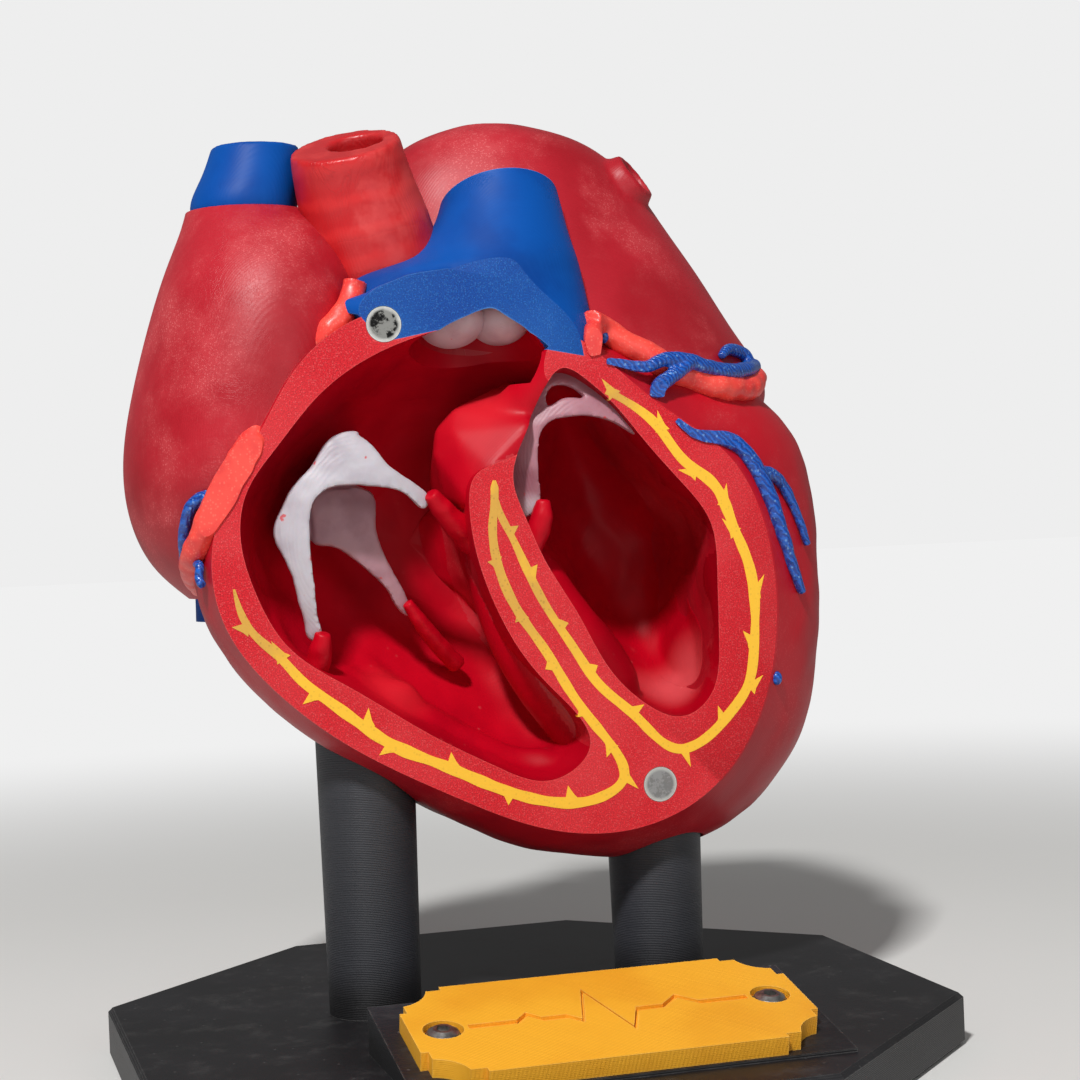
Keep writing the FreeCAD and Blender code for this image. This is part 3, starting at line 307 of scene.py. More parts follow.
RIGHT_ATRIUM = [(82, -54, -34, 6, 26), (88, -60, -28, -2, 34), (96, -63.5, -24, -7, 39),
                (106, -64.3, -22, -9, 42), (118, -62.3, -20, -9.3, 42), (130, -59, -20, -8, 40),
                (140, -55.5, -22, -4, 36), (147, -52.5, -26, 3, 32), (150, -51.5, -30, 7, 29)]
LEFT_ATRIUM = [(100, -14, 46, 10, 40), (108, -22, 54, 0, 45), (116, -24, 57, -6, 48),
               (126, -24, 53, -3, 50), (138, -22, 46.5, 2, 50), (148, -19, 40, 6, 47),
               (157, -16, 33.5, 10, 42), (164, -8, 24, 15, 36), (167.2, 1, 13, 21, 30)]
UPPER_CAVA = [(146, -49, -32, 9, 26), (150, -50.8, -32, 7.5, 26.5), (156, -48.7, -31, 8.5, 26),
              (161.5, -46.5, -31, 10, 25.5)]
LOWER_CAVA = [(100, -50.5, -34.5, 26, 42), (92, -50.5, -34.5, 29.5, 45), (84, -50, -35, 31, 46),
              (77, -50, -35, 31, 46)]
AORTA = [(-14, 10, 116), (-16.5, 9.2, 128), (-20, 8.2, 142), (-24, 6.6, 155.5), (-25.2, 5, 160)]
AORTA_TOP = [(-20.2, 9.4, 149), (-23.1, 5.5, 160), (-24.2, 4, 164.4)]
LUNG_VEINS = [((26.4, 21.4, 151.6), (32.7, 17.2, 157)), ((28, 36, 138), (37, 46, 145)),
              ((-6, 36, 152), (-16, 46, 158)), ((-8, 40, 136), (-20, 50, 138))]


def in_front(name, gap=0.0):
    """Block that holds all that lies more than gap mm in front of the cut."""
    return box(name, (-90, -60, 20), (90, FACE - gap, 180))


def behind(at, start, reach):
    """0 up to start mm behind the cut, 1 from reach mm further back."""
    return min(1.0, max(0.0, (at.y - FACE - start) / reach))


def grown(outline, about, scale):
    """An outline scaled about a point."""
    return [(about[0] + (x - about[0]) * scale, about[1] + (z - about[1]) * scale) for x, z in outline]


def rows(name, table, around=140, along=110):
    return skin(name, [level_ring(*row) for row in table], around, along)


def soften(piece, grain, passes=3):
    """Melts a piece's parts into one skin, about grain mm fine, with soft edges."""
    melt = piece.modifiers.new("melt", "REMESH")
    melt.mode = "VOXEL"
    melt.voxel_size = grain * MM
    melt.use_smooth_shade = True
    ease = piece.modifiers.new("ease", "SMOOTH")
    ease.iterations = passes
    ease.factor = 0.5
    settle(piece)


def make_muscle():
    """Outer form of both ventricles, closed and full."""
    between = [((a + c) / 2, (b + d) / 2) for (a, b), (c, d) in zip(RIM, GIRTH)]
    muscle = skin("ventricle_muscle", [
        face_ring(FACE, RIM), face_ring(-3, between, 1.03, HEART_MIDDLE), face_ring(12, GIRTH),
        face_ring(34, REAR), face_ring(44, REAR, 0.66, HEART_MIDDLE),
        face_ring(48, REAR, 0.25, HEART_MIDDLE)], 300, 150)

    def flesh(at):
        return behind(at, 0, 4) * (0.45 * lumps(at, 26, 3) + 0.16 * lumps(at, 9, 8) - 0.1)
    sculpt(muscle, flesh)
    return muscle


WALL_RIDGE = [(-33.7, 4, 87.3), (-29.2, 5, 84.5), (-25.5, 6, 80.5), (-21.9, 5, 72.6), (-18.8, 4, 65.3)]
LOWER_RIDGE = [(-24, 2, 69), (-18.4, 3, 64), (-9.2, 3, 58.3), (0.1, 2, 52.4), (7.3, 0, 48.5)]
SEPTUM_CREST = [(-6, 2, 106), (0, -0.5, 110.5), (4.5, -4, 115), (8, -8, 120), (11.5, -14, 125.5)]
LEFT_LEDGE = [(1, 0.5, 89.5), (3.4, 1.5, 85), (8.8, 2, 74.2), (14.4, 2, 67.4), (18, 2, 61.6),
              (20.5, 1, 55.5)]
LEFT_MOUND = ((51, 16, 63), (17, 26, 20))
SEPTUM_SIDE = [(-5, 3.5, 104), (-2, 3.5, 93), (0.2, 3, 84), (4, 2.5, 72), (8.6, 2.5, 64), (14, 2, 55)]
SEPTUM_FLAP = [(-5.5, -9.8, 102.4), (-2, -9.8, 103.5), (2.4, -9.8, 110), (-8, -8.6, 100.2),
               (-9.6, -5, 106), (-10.2, -3.2, 109.2), (-11, 0, 97.8), (-12.8, 0, 105.3), (-12.2, 1, 109.8),
               (-9, 0, 113.5), (2, -3, 114.5), (4, 2, 117), (5, 10, 119), (-9.5, 10, 94), (-11, 12, 100),
               (-10, 10, 108), (6, 17, 92), (8, -9.5, 96), (-8.6, -9, 96)]
WALL_FOLD = [(-43.2, 0, 87.3), (-38.6, 0, 81.9), (-36.5, 0, 75)]


def facets(name, corners):
    """Flat-sided form that just holds all its corners."""
    shape = bmesh.new()
    for corner in corners:
        shape.verts.new(Vector(corner) * MM)
    bmesh.ops.convex_hull(shape, input=shape.verts)
    inner = [corner for corner in shape.verts if not corner.link_faces]
    bmesh.ops.delete(shape, geom=inner, context="VERTS")
    return placed_form(name, shape)


def chamber(name, outline, middle, depths, around):
    """Hollow behind an outline of the cut; depths are (y, scale, sideways, up)."""
    mouth = [face_ring(FACE - 1.5, outline), face_ring(FACE + 1.5, outline)]
    return skin(name, mouth + [face_ring(y, outline, scale, middle, shift) for y, scale, *shift in depths],
                around, 110)


def make_right_hollow():
    """Room of the right chamber, less its ridges and the folded septum."""
    hollow = chamber("right_hollow", RIGHT_CHAMBER, RIGHT_MIDDLE, [
        (0, 0.95, 1.2, 0), (6, 0.88, 2.8, 0), (11, 0.76, 4.2, 1), (15, 0.56, 5, 2), (17.5, 0.3, 5, 2)], 260)

    def lining(at):
        ridge = near_line(at, WALL_RIDGE, 6) + 0.6 * near_line(at, LOWER_RIDGE, 4.5)
        fold = near_line(at, WALL_FOLD, 4)
        hills = 0.6 * lumps(at, 20, 5) + 0.2 * lumps(at, 8, 1)
        return behind(at, 1, 5) * (hills - 3.0 * ridge + 0.8 * fold)
    sculpt(hollow, lining)
    septum = ellipsoid("septum_root", (1, 12, 105), (9, 8, 10))
    forms = [facets("septum_flap", SEPTUM_FLAP),
             tube("septum_crest", SEPTUM_CREST, [2.5, 4.5, 4.4, 3.6, 3.4], 64, 70),
             tube("septum_side", SEPTUM_SIDE, [3.5, 7.5, 7, 7, 7, 6], 64, 80)]
    combine(septum, forms, "UNION")
    soften(septum, 0.7, 9)
    combine(hollow, [septum])
    discard(septum, *forms)
    return hollow


def make_left_hollow():
    """Room of the left chamber, less its ledge and its low mound."""
    hollow = chamber("left_hollow", LEFT_CHAMBER, LEFT_MIDDLE, [
        (2, 0.95, 2, 0), (14, 0.80, 5, 0), (24, 0.52, 7, 0), (27, 0.22, 7, 0)], 240)

    def lining(at):
        return behind(at, 1, 5) * (0.6 * lumps(at, 18, 2) + 0.2 * lumps(at, 7, 6))
    sculpt(hollow, lining)
    ledge = tube("left_ledge", LEFT_LEDGE, [3, 6, 7, 7, 6.5, 4], 72, 90)
    mound = ellipsoid("left_mound", *LEFT_MOUND, 6)
    combine(hollow, [ledge, mound])
    soften(hollow, 0.6, 9)
    discard(ledge, mound)
    return hollow


def circle(middle, radius, around=96):
    turns = np.linspace(0, 2 * math.pi, around, endpoint=False)
    return [(middle[0] + radius * math.cos(turn), middle[1] + radius * math.sin(turn)) for turn in turns]


def cylinder(name, middle, foot, top, radius):
    """Upright round bar."""
    return grid_body(name, np.array([[(x, y, z) for x, y in circle(middle, radius)]
                                     for z in (foot, top)]) * MM)


def wedge(name, outline, through):
    """Large prism along X or Y, to cut an end off at a slant."""
    ends = [[(side, across, height) if through == "x" else (across, side, height)
             for across, height in outline] for side in (-60, 60)]
    return grid_body(name, np.array(ends) * MM)


def copy_of(piece):
    twin = piece.copy()
    twin.data = piece.data.copy()
    bpy.context.scene.collection.objects.link(twin)
    return twin


POCKET, SOCKET, CAVA_BORE = 3.08, 9.0, 5      # radii
front_half, just_in_front = in_front("in_front_of_the_cut"), in_front("just_in_front_of_the_cut", 0.35)
muscle = make_muscle()
right_hollow = make_right_hollow()
left_hollow = make_left_hollow()
trunk = rows("pulmonary_trunk_shell", TRUNK, 160, 120)
trunk_bore = rows("trunk_bore", TRUNK_BORE, 120, 80)
above_trunk = wedge("above_the_trunk", TRUNK_TOP, "x")
below_trunk = wedge("below_the_trunk", TRUNK_FOOT, "y")
wing = tube("trunk_wing", TRUNK_WING, [1.5, 4.0, 4.6, 4.2], 64, 50)
combine(trunk, [wing], "UNION")
soften(trunk, 0.45, 10)
combine(trunk, [above_trunk, below_trunk])
trunk_whole = copy_of(trunk)
aorta = tube("aorta_shell", AORTA, [11.0, 11.5, 11.2, 9.7], 120, 90)
aorta_bore = tube("aorta_bore", AORTA_TOP, [4.8, 4.8], 64, 20)
right_atrium = rows("right_atrium_shell", RIGHT_ATRIUM, 200, 150)
left_atrium = rows("left_atrium_shell", LEFT_ATRIUM, 220, 170)
upper_cava = rows("upper_cava_shell", UPPER_CAVA, 120, 50)
lower_cava = rows("lower_cava_shell", LOWER_CAVA, 120, 50)
upper_cava_bore = cylinder("upper_cava_bore", (-38.7, 17.5), 152.5, 170, CAVA_BORE)
lower_cava_bore = cylinder("lower_cava_bore", (-42.5, 38.5), 68, 86, CAVA_BORE)

MAGNETS = {"upper_magnet": (-22.9, 127.3), "apex_magnet": (23.0, 46.4)}
pockets = [slab(name + "_pocket", circle(where, POCKET), FACE - 1, FACE + 3)
           for name, where in MAGNETS.items()]
sockets = [cylinder("left_socket", (-26.25, 4), 10, 58.0, SOCKET),
           cylinder("right_socket", (26.25, 4), 10, 47.5, SOCKET)]

muscle_whole = copy_of(muscle)
right_atrium_whole = copy_of(right_atrium)
aorta_whole = copy_of(aorta)

combine(muscle, [left_hollow, right_hollow, trunk, trunk_bore, lower_cava, front_half] + pockets + sockets)
combine(trunk, [trunk_bore, right_hollow, front_half, pockets[0]])
combine(aorta, [aorta_bore])
soften(aorta, 0.5, 14)
combine(aorta, [muscle_whole, trunk_whole, trunk_bore])
upper_cava_whole = copy_of(upper_cava)
combine(upper_cava, [upper_cava_bore])
soften(upper_cava, 0.5, 4)
combine(upper_cava, [aorta_whole])
combine(lower_cava, [lower_cava_bore])
stubs, stub_bores = [], []
for inner, outer in LUNG_VEINS:
    inner, outer = np.array(inner, float), np.array(outer, float)
    run = outer - inner
    stubs.append(tube("lung_vein", [inner, (inner + outer) / 2, outer], [9, 6.6, 4.8], 64, 24))
    stub_bores.append(tube("lung_vein_bore", [inner + run * 0.45, inner + run * 0.8, outer + run * 0.1],
                           [3.5, 3.5], 48, 12))
combine(left_atrium, stubs, "UNION")
combine(left_atrium, stub_bores)
soften(left_atrium, 0.55, 8)
combine(right_atrium, [muscle_whole, trunk_whole, aorta_whole])
combine(left_atrium, [muscle_whole, trunk_whole, trunk_bore, aorta_whole, right_atrium_whole,
                      upper_cava_whole])
discard(above_trunk, below_trunk, wing, *stubs, *stub_bores, *pockets, *sockets, trunk_bore, aorta_bore,
        upper_cava_bore, lower_cava_bore)


# ---------------------------------------------------------------- heart: vessels on its surface

CORE = np.array([10.0, 25, 100])


def lifted(path, lift):
    path = np.array(path, float)
    away = path - CORE
    return path + away / np.linalg.norm(away, axis=1)[:, None] * lift


def vessel(name, width, branches, rise=0.25, beads=()):
    """Vessel of one or more branches, each (path, shares of its width), modelled as one.

    Beads are spots of the same material beside it, each (centre, half axes)."""
    tubes = [tube(name, lifted(path, width * rise), [width / 2 * share + 0.12 for share in shares],
                  28, 90, 0.16) for path, shares in branches]
    tubes += [ellipsoid("bead", *bead, 4) for bead in beads]
    first, rest = tubes[0], tubes[1:]
    combine(first, rest, "UNION")
    discard(*rest)
    soften(first, 0.28, 2)
    combine(first, [just_in_front])
    return first


RIGHT_ARTERY = [(-25.6, -3.9, 134.5), (-26.2, -4.2, 132.3), (-29.4, -6.1, 127.6), (-34.2, -3.6, 122),
                (-39.3, -2.6, 115.2), (-44, -7, 108.8), (-48.2, -9.4, 103.2), (-50.8, -9.2, 98.8),
                (-52.8, -8.2, 95), (-54, -5.6, 91.5), (-54.6, -1.5, 88.8), (-54.2, 3, 86.8),
                (-52, 11, 84)]
LEFT_ARTERY = [(14.3, -6.8, 126.9), (17.6, -3.9, 125.7), (20.8, -4.1, 123.4), (24.1, -4.7, 121.4),
               (28.5, -4.9, 118.8), (33.5, -3.9, 117), (38.9, -3, 115.5), (43.2, -0.5, 115.2),
               (47, 2.7, 115.9), (49.5, 7, 117.3), (51.5, 14, 116)]
LEFT_ARTERY_KNOB = [(17, -4, 126.4), (14.6, -7.1, 125.3), (13.8, -9.1, 123), (14, -9.9, 120.9)]
REAR_ARTERY = [(-16, 39, 101), (-14, 43, 95), (-9, 46.6, 86), (-2, 48, 76), (6, 47.5, 66),
               (14, 43.8, 54)]
GREAT_VEIN = [(16.1, -9.8, 120), (19.5, -9.3, 119.4), (23.8, -8.9, 119), (26.2, -8.2, 119.9),
              (30.7, -7.2, 120.2), (34.9, -6, 119.2), (38.9, -4.4, 118.4), (43.4, -1.6, 118.4),
              (47.3, 2.8, 119.1), (50.5, 9.5, 119.6), (53, 17, 118.3), (54.5, 24, 112.5)]
GREAT_VEIN_FRONT = [(32.2, -6.8, 119.8), (29.8, -7.6, 118.2), (27.3, -8.4, 116.7),
                    (25.3, -9.3, 115.2), (25, -9.7, 113.7)]
GREAT_VEIN_HOOK = [(48.3, 5.2, 119.3), (47.8, 5.9, 121.5), (45.5, 4.7, 122.5), (42.9, 2.6, 122.4),
                   (41.2, 0.9, 121.2)]
LEFT_EDGE_VEIN = [(28.3, -9.8, 109.7), (31.9, -9.9, 107.1), (37.4, -9.1, 106.2), (42.7, -8.5, 101.8),
                  (45.1, -8.5, 96.9), (47.3, -8.5, 90.6), (49.5, -7.6, 84.5), (52, -6.3, 78.6)]
LEFT_EDGE_FORK = [(44.2, -8.1, 100.4), (47.9, -6.6, 99), (50.4, -5.5, 95.9), (53.2, -4.6, 90),
                  (54.3, -4.1, 87)]
SMALL_VEIN = [(-51.7, -6.4, 99.6), (-54.1, -4.6, 98.6), (-55.4, -2.6, 95.5), (-55.6, 0.2, 91.1),
              (-55.1, 2.9, 87.7)]
SMALL_VEIN_CURL = [(-55.4, 0.6, 90.2), (-54.3, -4, 88.8), (-54.1, -7.1, 87.8), (-54.2, -7, 86.2),
                   (-53.9, -8, 85.2)]
SINUS = [(55, 23.5, 113), (54, 28, 107.5), (46, 34, 103.8), (32, 40.3, 102.4), (16, 43, 102),
         (0, 42, 102), (-12, 39.4, 102.2), (-22, 35.4, 102.6), (-31, 29, 103)]
MIDDLE_VEIN = [(-6, 41, 101), (-3, 45.2, 93), (3, 48, 82), (10, 48, 70), (17, 45.4, 59)]

ARTERY, VEIN = 4.6, 3.0
right_artery = vessel("right_coronary_artery_skin", ARTERY, [(RIGHT_ARTERY, [0.8, 1, 1, 1, 0.9, 0.5])])
left_artery = vessel("left_coronary_artery_skin", ARTERY, [
    (LEFT_ARTERY, [0.8, 1, 1, 1, 0.8]), (LEFT_ARTERY_KNOB, [0.6, 0.65, 0.7, 0.45])])
rear_artery = vessel("posterior_descending_artery_skin", ARTERY, [(REAR_ARTERY, [0.85, 0.7, 0.4])])
great_vein = vessel("great_cardiac_vein_skin", VEIN, [
    (GREAT_VEIN, [0.35, 0.8, 0.85, 0.95, 1, 1]), (GREAT_VEIN_FRONT, [0.9, 0.85, 0.85]),
    (GREAT_VEIN_HOOK, [0.8, 0.7, 0.45])], beads=[((17.3, -6.2, 124.9), (0.8, 0.7, 1.2))])
edge_vein = vessel("left_marginal_vein_skin", VEIN, [
    (LEFT_EDGE_VEIN, [0.3, 0.85, 0.9, 0.7, 0.45]), (LEFT_EDGE_FORK, [0.7, 0.55, 0.35])],
    beads=[((46, -9.1, 63.5), (1.0, 0.9, 1.3))])
small_vein = vessel("small_cardiac_vein_skin", VEIN, [
    (SMALL_VEIN, [0.7, 0.65, 0.55, 0.45]), (SMALL_VEIN_CURL, [0.45, 0.45, 0.45])], 0.4)
sinus_vein = vessel("coronary_sinus_skin", 7, [(SINUS, [0.5, 0.75, 0.95, 1, 0.9])], 0.12)
middle_vein = vessel("middle_cardiac_vein_skin", VEIN, [(MIDDLE_VEIN, [0.9, 0.75, 0.55])], 0.15)

# ---------------------------------------------------------------- heart: valves

FRONT_LEAFLET = [(-41.7, 93.2), (-40.4, 97.2), (-38, 101), (-35, 104.2), (-32.6, 107.6), (-30, 109.2),
                 (-26.6, 108.7), (-24.2, 106.4), (-22.4, 103.8), (-19, 101.3), (-16.6, 99.6),
                 (-15.2, 97.8), (-15.8, 96.2), (-18.5, 98), (-22.4, 99.9), (-27.1, 100.5),
                 (-30.6, 100.6), (-33.4, 100), (-35, 98.6), (-36, 96), (-36.3, 92.2), (-36.1, 87),
                 (-35.6, 81.9), (-34.7, 76.6), (-34.4, 74), (-36.2, 74.6), (-37, 76.8), (-38.3, 82),
                 (-39.2, 86), (-40.6, 89.2)]
REAR_LEAFLET = [(-33.7, 98), (-32.2, 99.6), (-28.1, 100.1), (-24.8, 100), (-23, 98.8), (-22.8, 94.3),
                (-21.4, 88.2), (-18.9, 83.4), (-17.1, 79.7), (-16.9, 77.5), (-17.9, 77.9),
                (-20.6, 81.7), (-23.8, 85.2), (-27.9, 88.8), (-31.3, 90.4), (-33.6, 91), (-33.7, 93)]
MITRAL_COLLAR = [(23.5, 107.4), (18.7, 109.4), (16.1, 110.5), (12.3, 111.2), (8.5, 111), (6.1, 110.2),
                 (4.7, 108.4), (4.1, 105.5), (3.9, 102), (4.3, 98.5), (3.4, 94.4), (0.8, 94.2),
                 (-1, 98), (-1.5, 102), (0, 106.5), (2.5, 112), (6, 118.5), (11.5, 121),
                 (18, 117.5), (27, 110)]
MITRAL_WINDOW = [(6.3, 113), (6.8, 115.8), (9.2, 116.8), (12, 115.6), (13.2, 114.2), (9.4, 114.2)]
FRONT_HINGE = [(-27, 108.9), (-31, 108.2), (-34, 103.6), (-37.9, 98.6), (-40.2, 93.4), (-38.8, 89)]
REAR_HINGE = [(-34.2, 91.6), (-33.3, 98.6), (-28, 100.3), (-23.2, 98.4)]


def bowl(name, centre, half_axes, thickness=1.5):
    """Thin round shell."""
    outer = ellipsoid(name, centre, half_axes, 6)
    inner = ellipsoid("inside", centre, [half - thickness for half in half_axes], 6)
    combine(outer, [inner])
    discard(inner)
    return outer


def band(name, line, y, half=0.75):
    """Hinge of a leaflet: a strip along a line, run back to the chamber's wall."""
    line = spline(line, 60)
    grid = []
    for i, (x, z) in enumerate(line):
        along = line[min(i + 1, 59)] - line[max(i - 1, 0)]
        along /= np.linalg.norm(along)
        aside = np.array([-along[1], 0, along[0]]) * half
        at = np.array([x, y, z])
        back = at + np.array([6, 26, 0])
        grid.append([at + aside, at - aside, back - aside, back + aside])
    return grid_body(name, np.array(grid) * MM)


def leaflet(name, centre, half_axes, outline, reach, hinge=(), hinge_y=0.0, window=(), grain=0.32):
    """Part of a thin shell inside an outline, hinged on the wall, its edges soft and thick."""
    sheet_part = bowl(name, centre, half_axes)
    edge = smooth_slab("edge", outline, *reach)
    combine(sheet_part, [edge], "INTERSECT")
    discard(edge)
    if window:
        hole = smooth_slab("hole", window, *reach, 60)
        combine(sheet_part, [hole])
        discard(hole)
    if hinge:
        strip = band("hinge", hinge, hinge_y)
        combine(sheet_part, [strip], "UNION")
        discard(strip)
    soften(sheet_part, grain, 5)
    sculpt(sheet_part, lambda at: 0.1 + 0.12 * lumps(at, 5, 4))
    return sheet_part


front_leaflet = leaflet("tricuspid_front_leaflet_skin", (-27, 12, 92), (24, 20, 32), FRONT_LEAFLET,
                        (-9.5, 6), FRONT_HINGE, -4.6)
rear_leaflet = leaflet("tricuspid_rear_leaflet_skin", (-27, 18, 90), (24, 15, 32), REAR_LEAFLET,
                       (-5, 14), REAR_HINGE, 4.6)
mitral = leaflet("mitral_valve_skin", (14, 10.4, 104), (22, 20, 24), MITRAL_COLLAR, (-9.5, 10),
                 window=MITRAL_WINDOW)

CUSPS = {"left_pulmonary_cusp": ((-9, -1, 129), (6, 7.5, 5.3)),
         "right_pulmonary_cusp": ((-0.2, -1, 129), (5.4, 7.5, 4.9))}
cusps = []
for name, (centre, half_axes) in CUSPS.items():
    cusp = bowl(name + "_skin", centre, half_axes, 1.2)
    above = box("above", (-40, -30, 131.5), (40, 30, 150))
    combine(cusp, [above, just_in_front])
    discard(above)
    cusps.append(cusp)

PAPILLARIES = {
    "upper_papillary_muscle": ([(-15.2, -6, 98.6), (-11.6, -4.2, 94.6), (-6.5, -1.5, 90)],
                             (0.6, 0.85, 0.95, 1.1, 1.3)),
    "lower_papillary_muscle": ([(-34.5, -4.8, 75.8), (-35, -3.4, 71.6), (-36.6, 1, 66)],
                             (0.6, 0.9, 1, 1.1, 1.3)),
    "rear_papillary_muscle": ([(-17.6, 4.4, 79.8), (-14, 6.4, 75), (-7.4, 11, 68)],
                            (0.45, 0.65, 0.7, 0.75, 0.8)),
    "mitral_papillary_muscle": ([(4.9, -6.4, 96.9), (4.5, -6, 93.4), (2, -4.4, 87.5)],
                              (0.5, 0.88, 0.95, 1, 1.05)),
}
papillaries = []
for name, (path, shares) in PAPILLARIES.items():
    papillary = tube(name + "_skin", path, [2.2 * share for share in shares], 40, 50, 0.12)
    soften(papillary, 0.3, 9)
    papillaries.append(papillary)
wall_mound = ellipsoid("left_wall_papillary_muscle_skin", LEFT_MOUND[0],
                       [half + 2 for half in LEFT_MOUND[1]], 6)
near_chamber = smooth_slab("near_left_chamber", grown(LEFT_CHAMBER, LEFT_MIDDLE, 1.13), FACE + 0.6, 32)
combine(wall_mound, [near_chamber], "INTERSECT")
combine(wall_mound, [left_hollow])
discard(near_chamber)
sculpt(wall_mound, lambda at: 0.06)
papillaries.append(wall_mound)

# ---------------------------------------------------------------- heart: inlays

LEFT_STRAND = [(16, 115.3), (20, 113), (25, 109), (30, 102.5), (35, 98.5), (38.5, 91), (41, 84.5),
               (42, 77), (41.5, 69), (40, 62.5), (36.5, 58), (32, 54), (27, 52.3), (19, 58.5),
               (12.5, 64.5), (8.5, 70.5), (3.5, 78.5), (-0.5, 87), (-2.4, 91.3), (-4, 94.7), (-4.7, 97)]
LEFT_THORNS = [((15.5, 117), (17.5, 114.3)), ((25.3, 111.2), (26, 108)), ((29, 101), (32, 100.4)),
               ((37.5, 98), (37, 94.5)), ((36.7, 92), (39, 89.5)), ((43.8, 81.7), (42, 78.5)),
               ((39.8, 72), (41.5, 70)), ((42.7, 64), (40.4, 62)), ((34.4, 59), (35.2, 56.5)),
               ((28.6, 49.4), (27.5, 52.6)), ((20.2, 60.3), (18.2, 59.2)), ((12, 67.6), (10.8, 67)),
               ((7, 75.3), (5.6, 75)), ((2, 85.4), (0.8, 84)), ((-1.2, 92.3), (-2.8, 91.3))]
RIGHT_STRAND = [(-4.8, 100.4), (-4.9, 97), (-5.4, 92.8), (-4.5, 85), (-1, 77), (3, 71), (7, 64), (11.5, 57.5),
                (14.5, 53.5), (16.3, 48), (12, 45), (4.5, 44.6), (-2.5, 46.4), (-9.5, 49.4),
                (-16.5, 52.8), (-24, 56.3), (-30, 60.6), (-35.5, 65), (-39.5, 68.4), (-43, 72.5),
                (-47, 76.4), (-49, 80), (-50, 84)]
RIGHT_THORNS = [((-4.2, 83.8), (-5.3, 87)), ((-1.8, 76.3), (-0.6, 77.6)), ((3.3, 67.9), (4.4, 68.6)),
                ((8.7, 59.4), (9.8, 60.4)), ((13.5, 52.2), (14.3, 54.2)), ((18.6, 46.2), (16.2, 48.6)),
                ((6.2, 47), (6.6, 44.8)), ((-4.6, 45.3), (-4.4, 47.1)), ((-14.3, 54.2), (-14.2, 52)),
                ((-26.4, 55.2), (-24.5, 56.4)), ((-28.3, 62.6), (-28.6, 60)), ((-39, 64.6), (-37, 66)),
                ((-44, 74.8), (-42.2, 71.9)), ((-50.2, 77.7), (-47.8, 77.4))]


INLAY_DEPTH = 1.2


def strand(name, line, thorns, taper, proud):
    """Inlay of uneven width with thorns, a hair proud of the cut face."""
    line = spline(line, 260)
    half = [0.85 * width * (1 + 0.22 * noise.noise(Vector((x * 0.25, 3, z * 0.25))))
            for (x, z), width in zip(line, np.interp(np.linspace(0, 1, 260), *taper))]
    grid = []
    for i, (x, z) in enumerate(line):
        along = line[min(i + 1, 259)] - line[max(i - 1, 0)]
        along /= np.linalg.norm(along)
        aside = np.array([-along[1], along[0]]) * half[i]
        left, right = (x, z) + aside, (x, z) - aside
        grid.append([(left[0], FACE - proud, left[1]), (right[0], FACE - proud, right[1]),
                     (right[0], FACE + INLAY_DEPTH, right[1]), (left[0], FACE + INLAY_DEPTH, left[1])])
    inlay = grid_body(name, np.array(grid) * MM)
    spikes = []
    for tip, root in thorns:
        tip, root = np.array(tip, float), np.array(root, float)
        along = (root - tip) / np.linalg.norm(root - tip)
        aside = np.array([-along[1], along[0]]) * 1.35
        shoulder = root - along * 0.95
        tip = tip - along * 0.45
        outline = [tuple(tip), tuple(shoulder - aside * 0.55), tuple(root - aside),
                   tuple(root + aside), tuple(shoulder + aside * 0.55)]
        spikes.append(slab("thorn", outline, FACE - proud, FACE + INLAY_DEPTH))
    combine(inlay, spikes, "UNION")
    discard(*spikes)
    return inlay


left_strand = strand("left_conduction_strand_skin", LEFT_STRAND, LEFT_THORNS,
                     ([0, 0.05, 0.2, 0.9, 1], [0.8, 0.9, 1.15, 0.85, 0.7]), 0.05)
right_strand = strand("right_conduction_strand_skin", RIGHT_STRAND, RIGHT_THORNS,
                      ([0, 0.008, 0.06, 0.45, 0.75, 0.97, 1], [0.3, 0.8, 0.95, 1, 1.2, 0.7, 0.2]), 0.08)

# ---------------------------------------------------------------- finishes: shared effects


def shade(red, green, blue):
    """Screen colour, 0 to 255, as a shader colour."""
    linear = [c / 12.92 if c <= 0.04045 else ((c + 0.055) / 1.055) ** 2.4
              for c in (red / 255, green / 255, blue / 255)]
    return (*linear, 1.0)


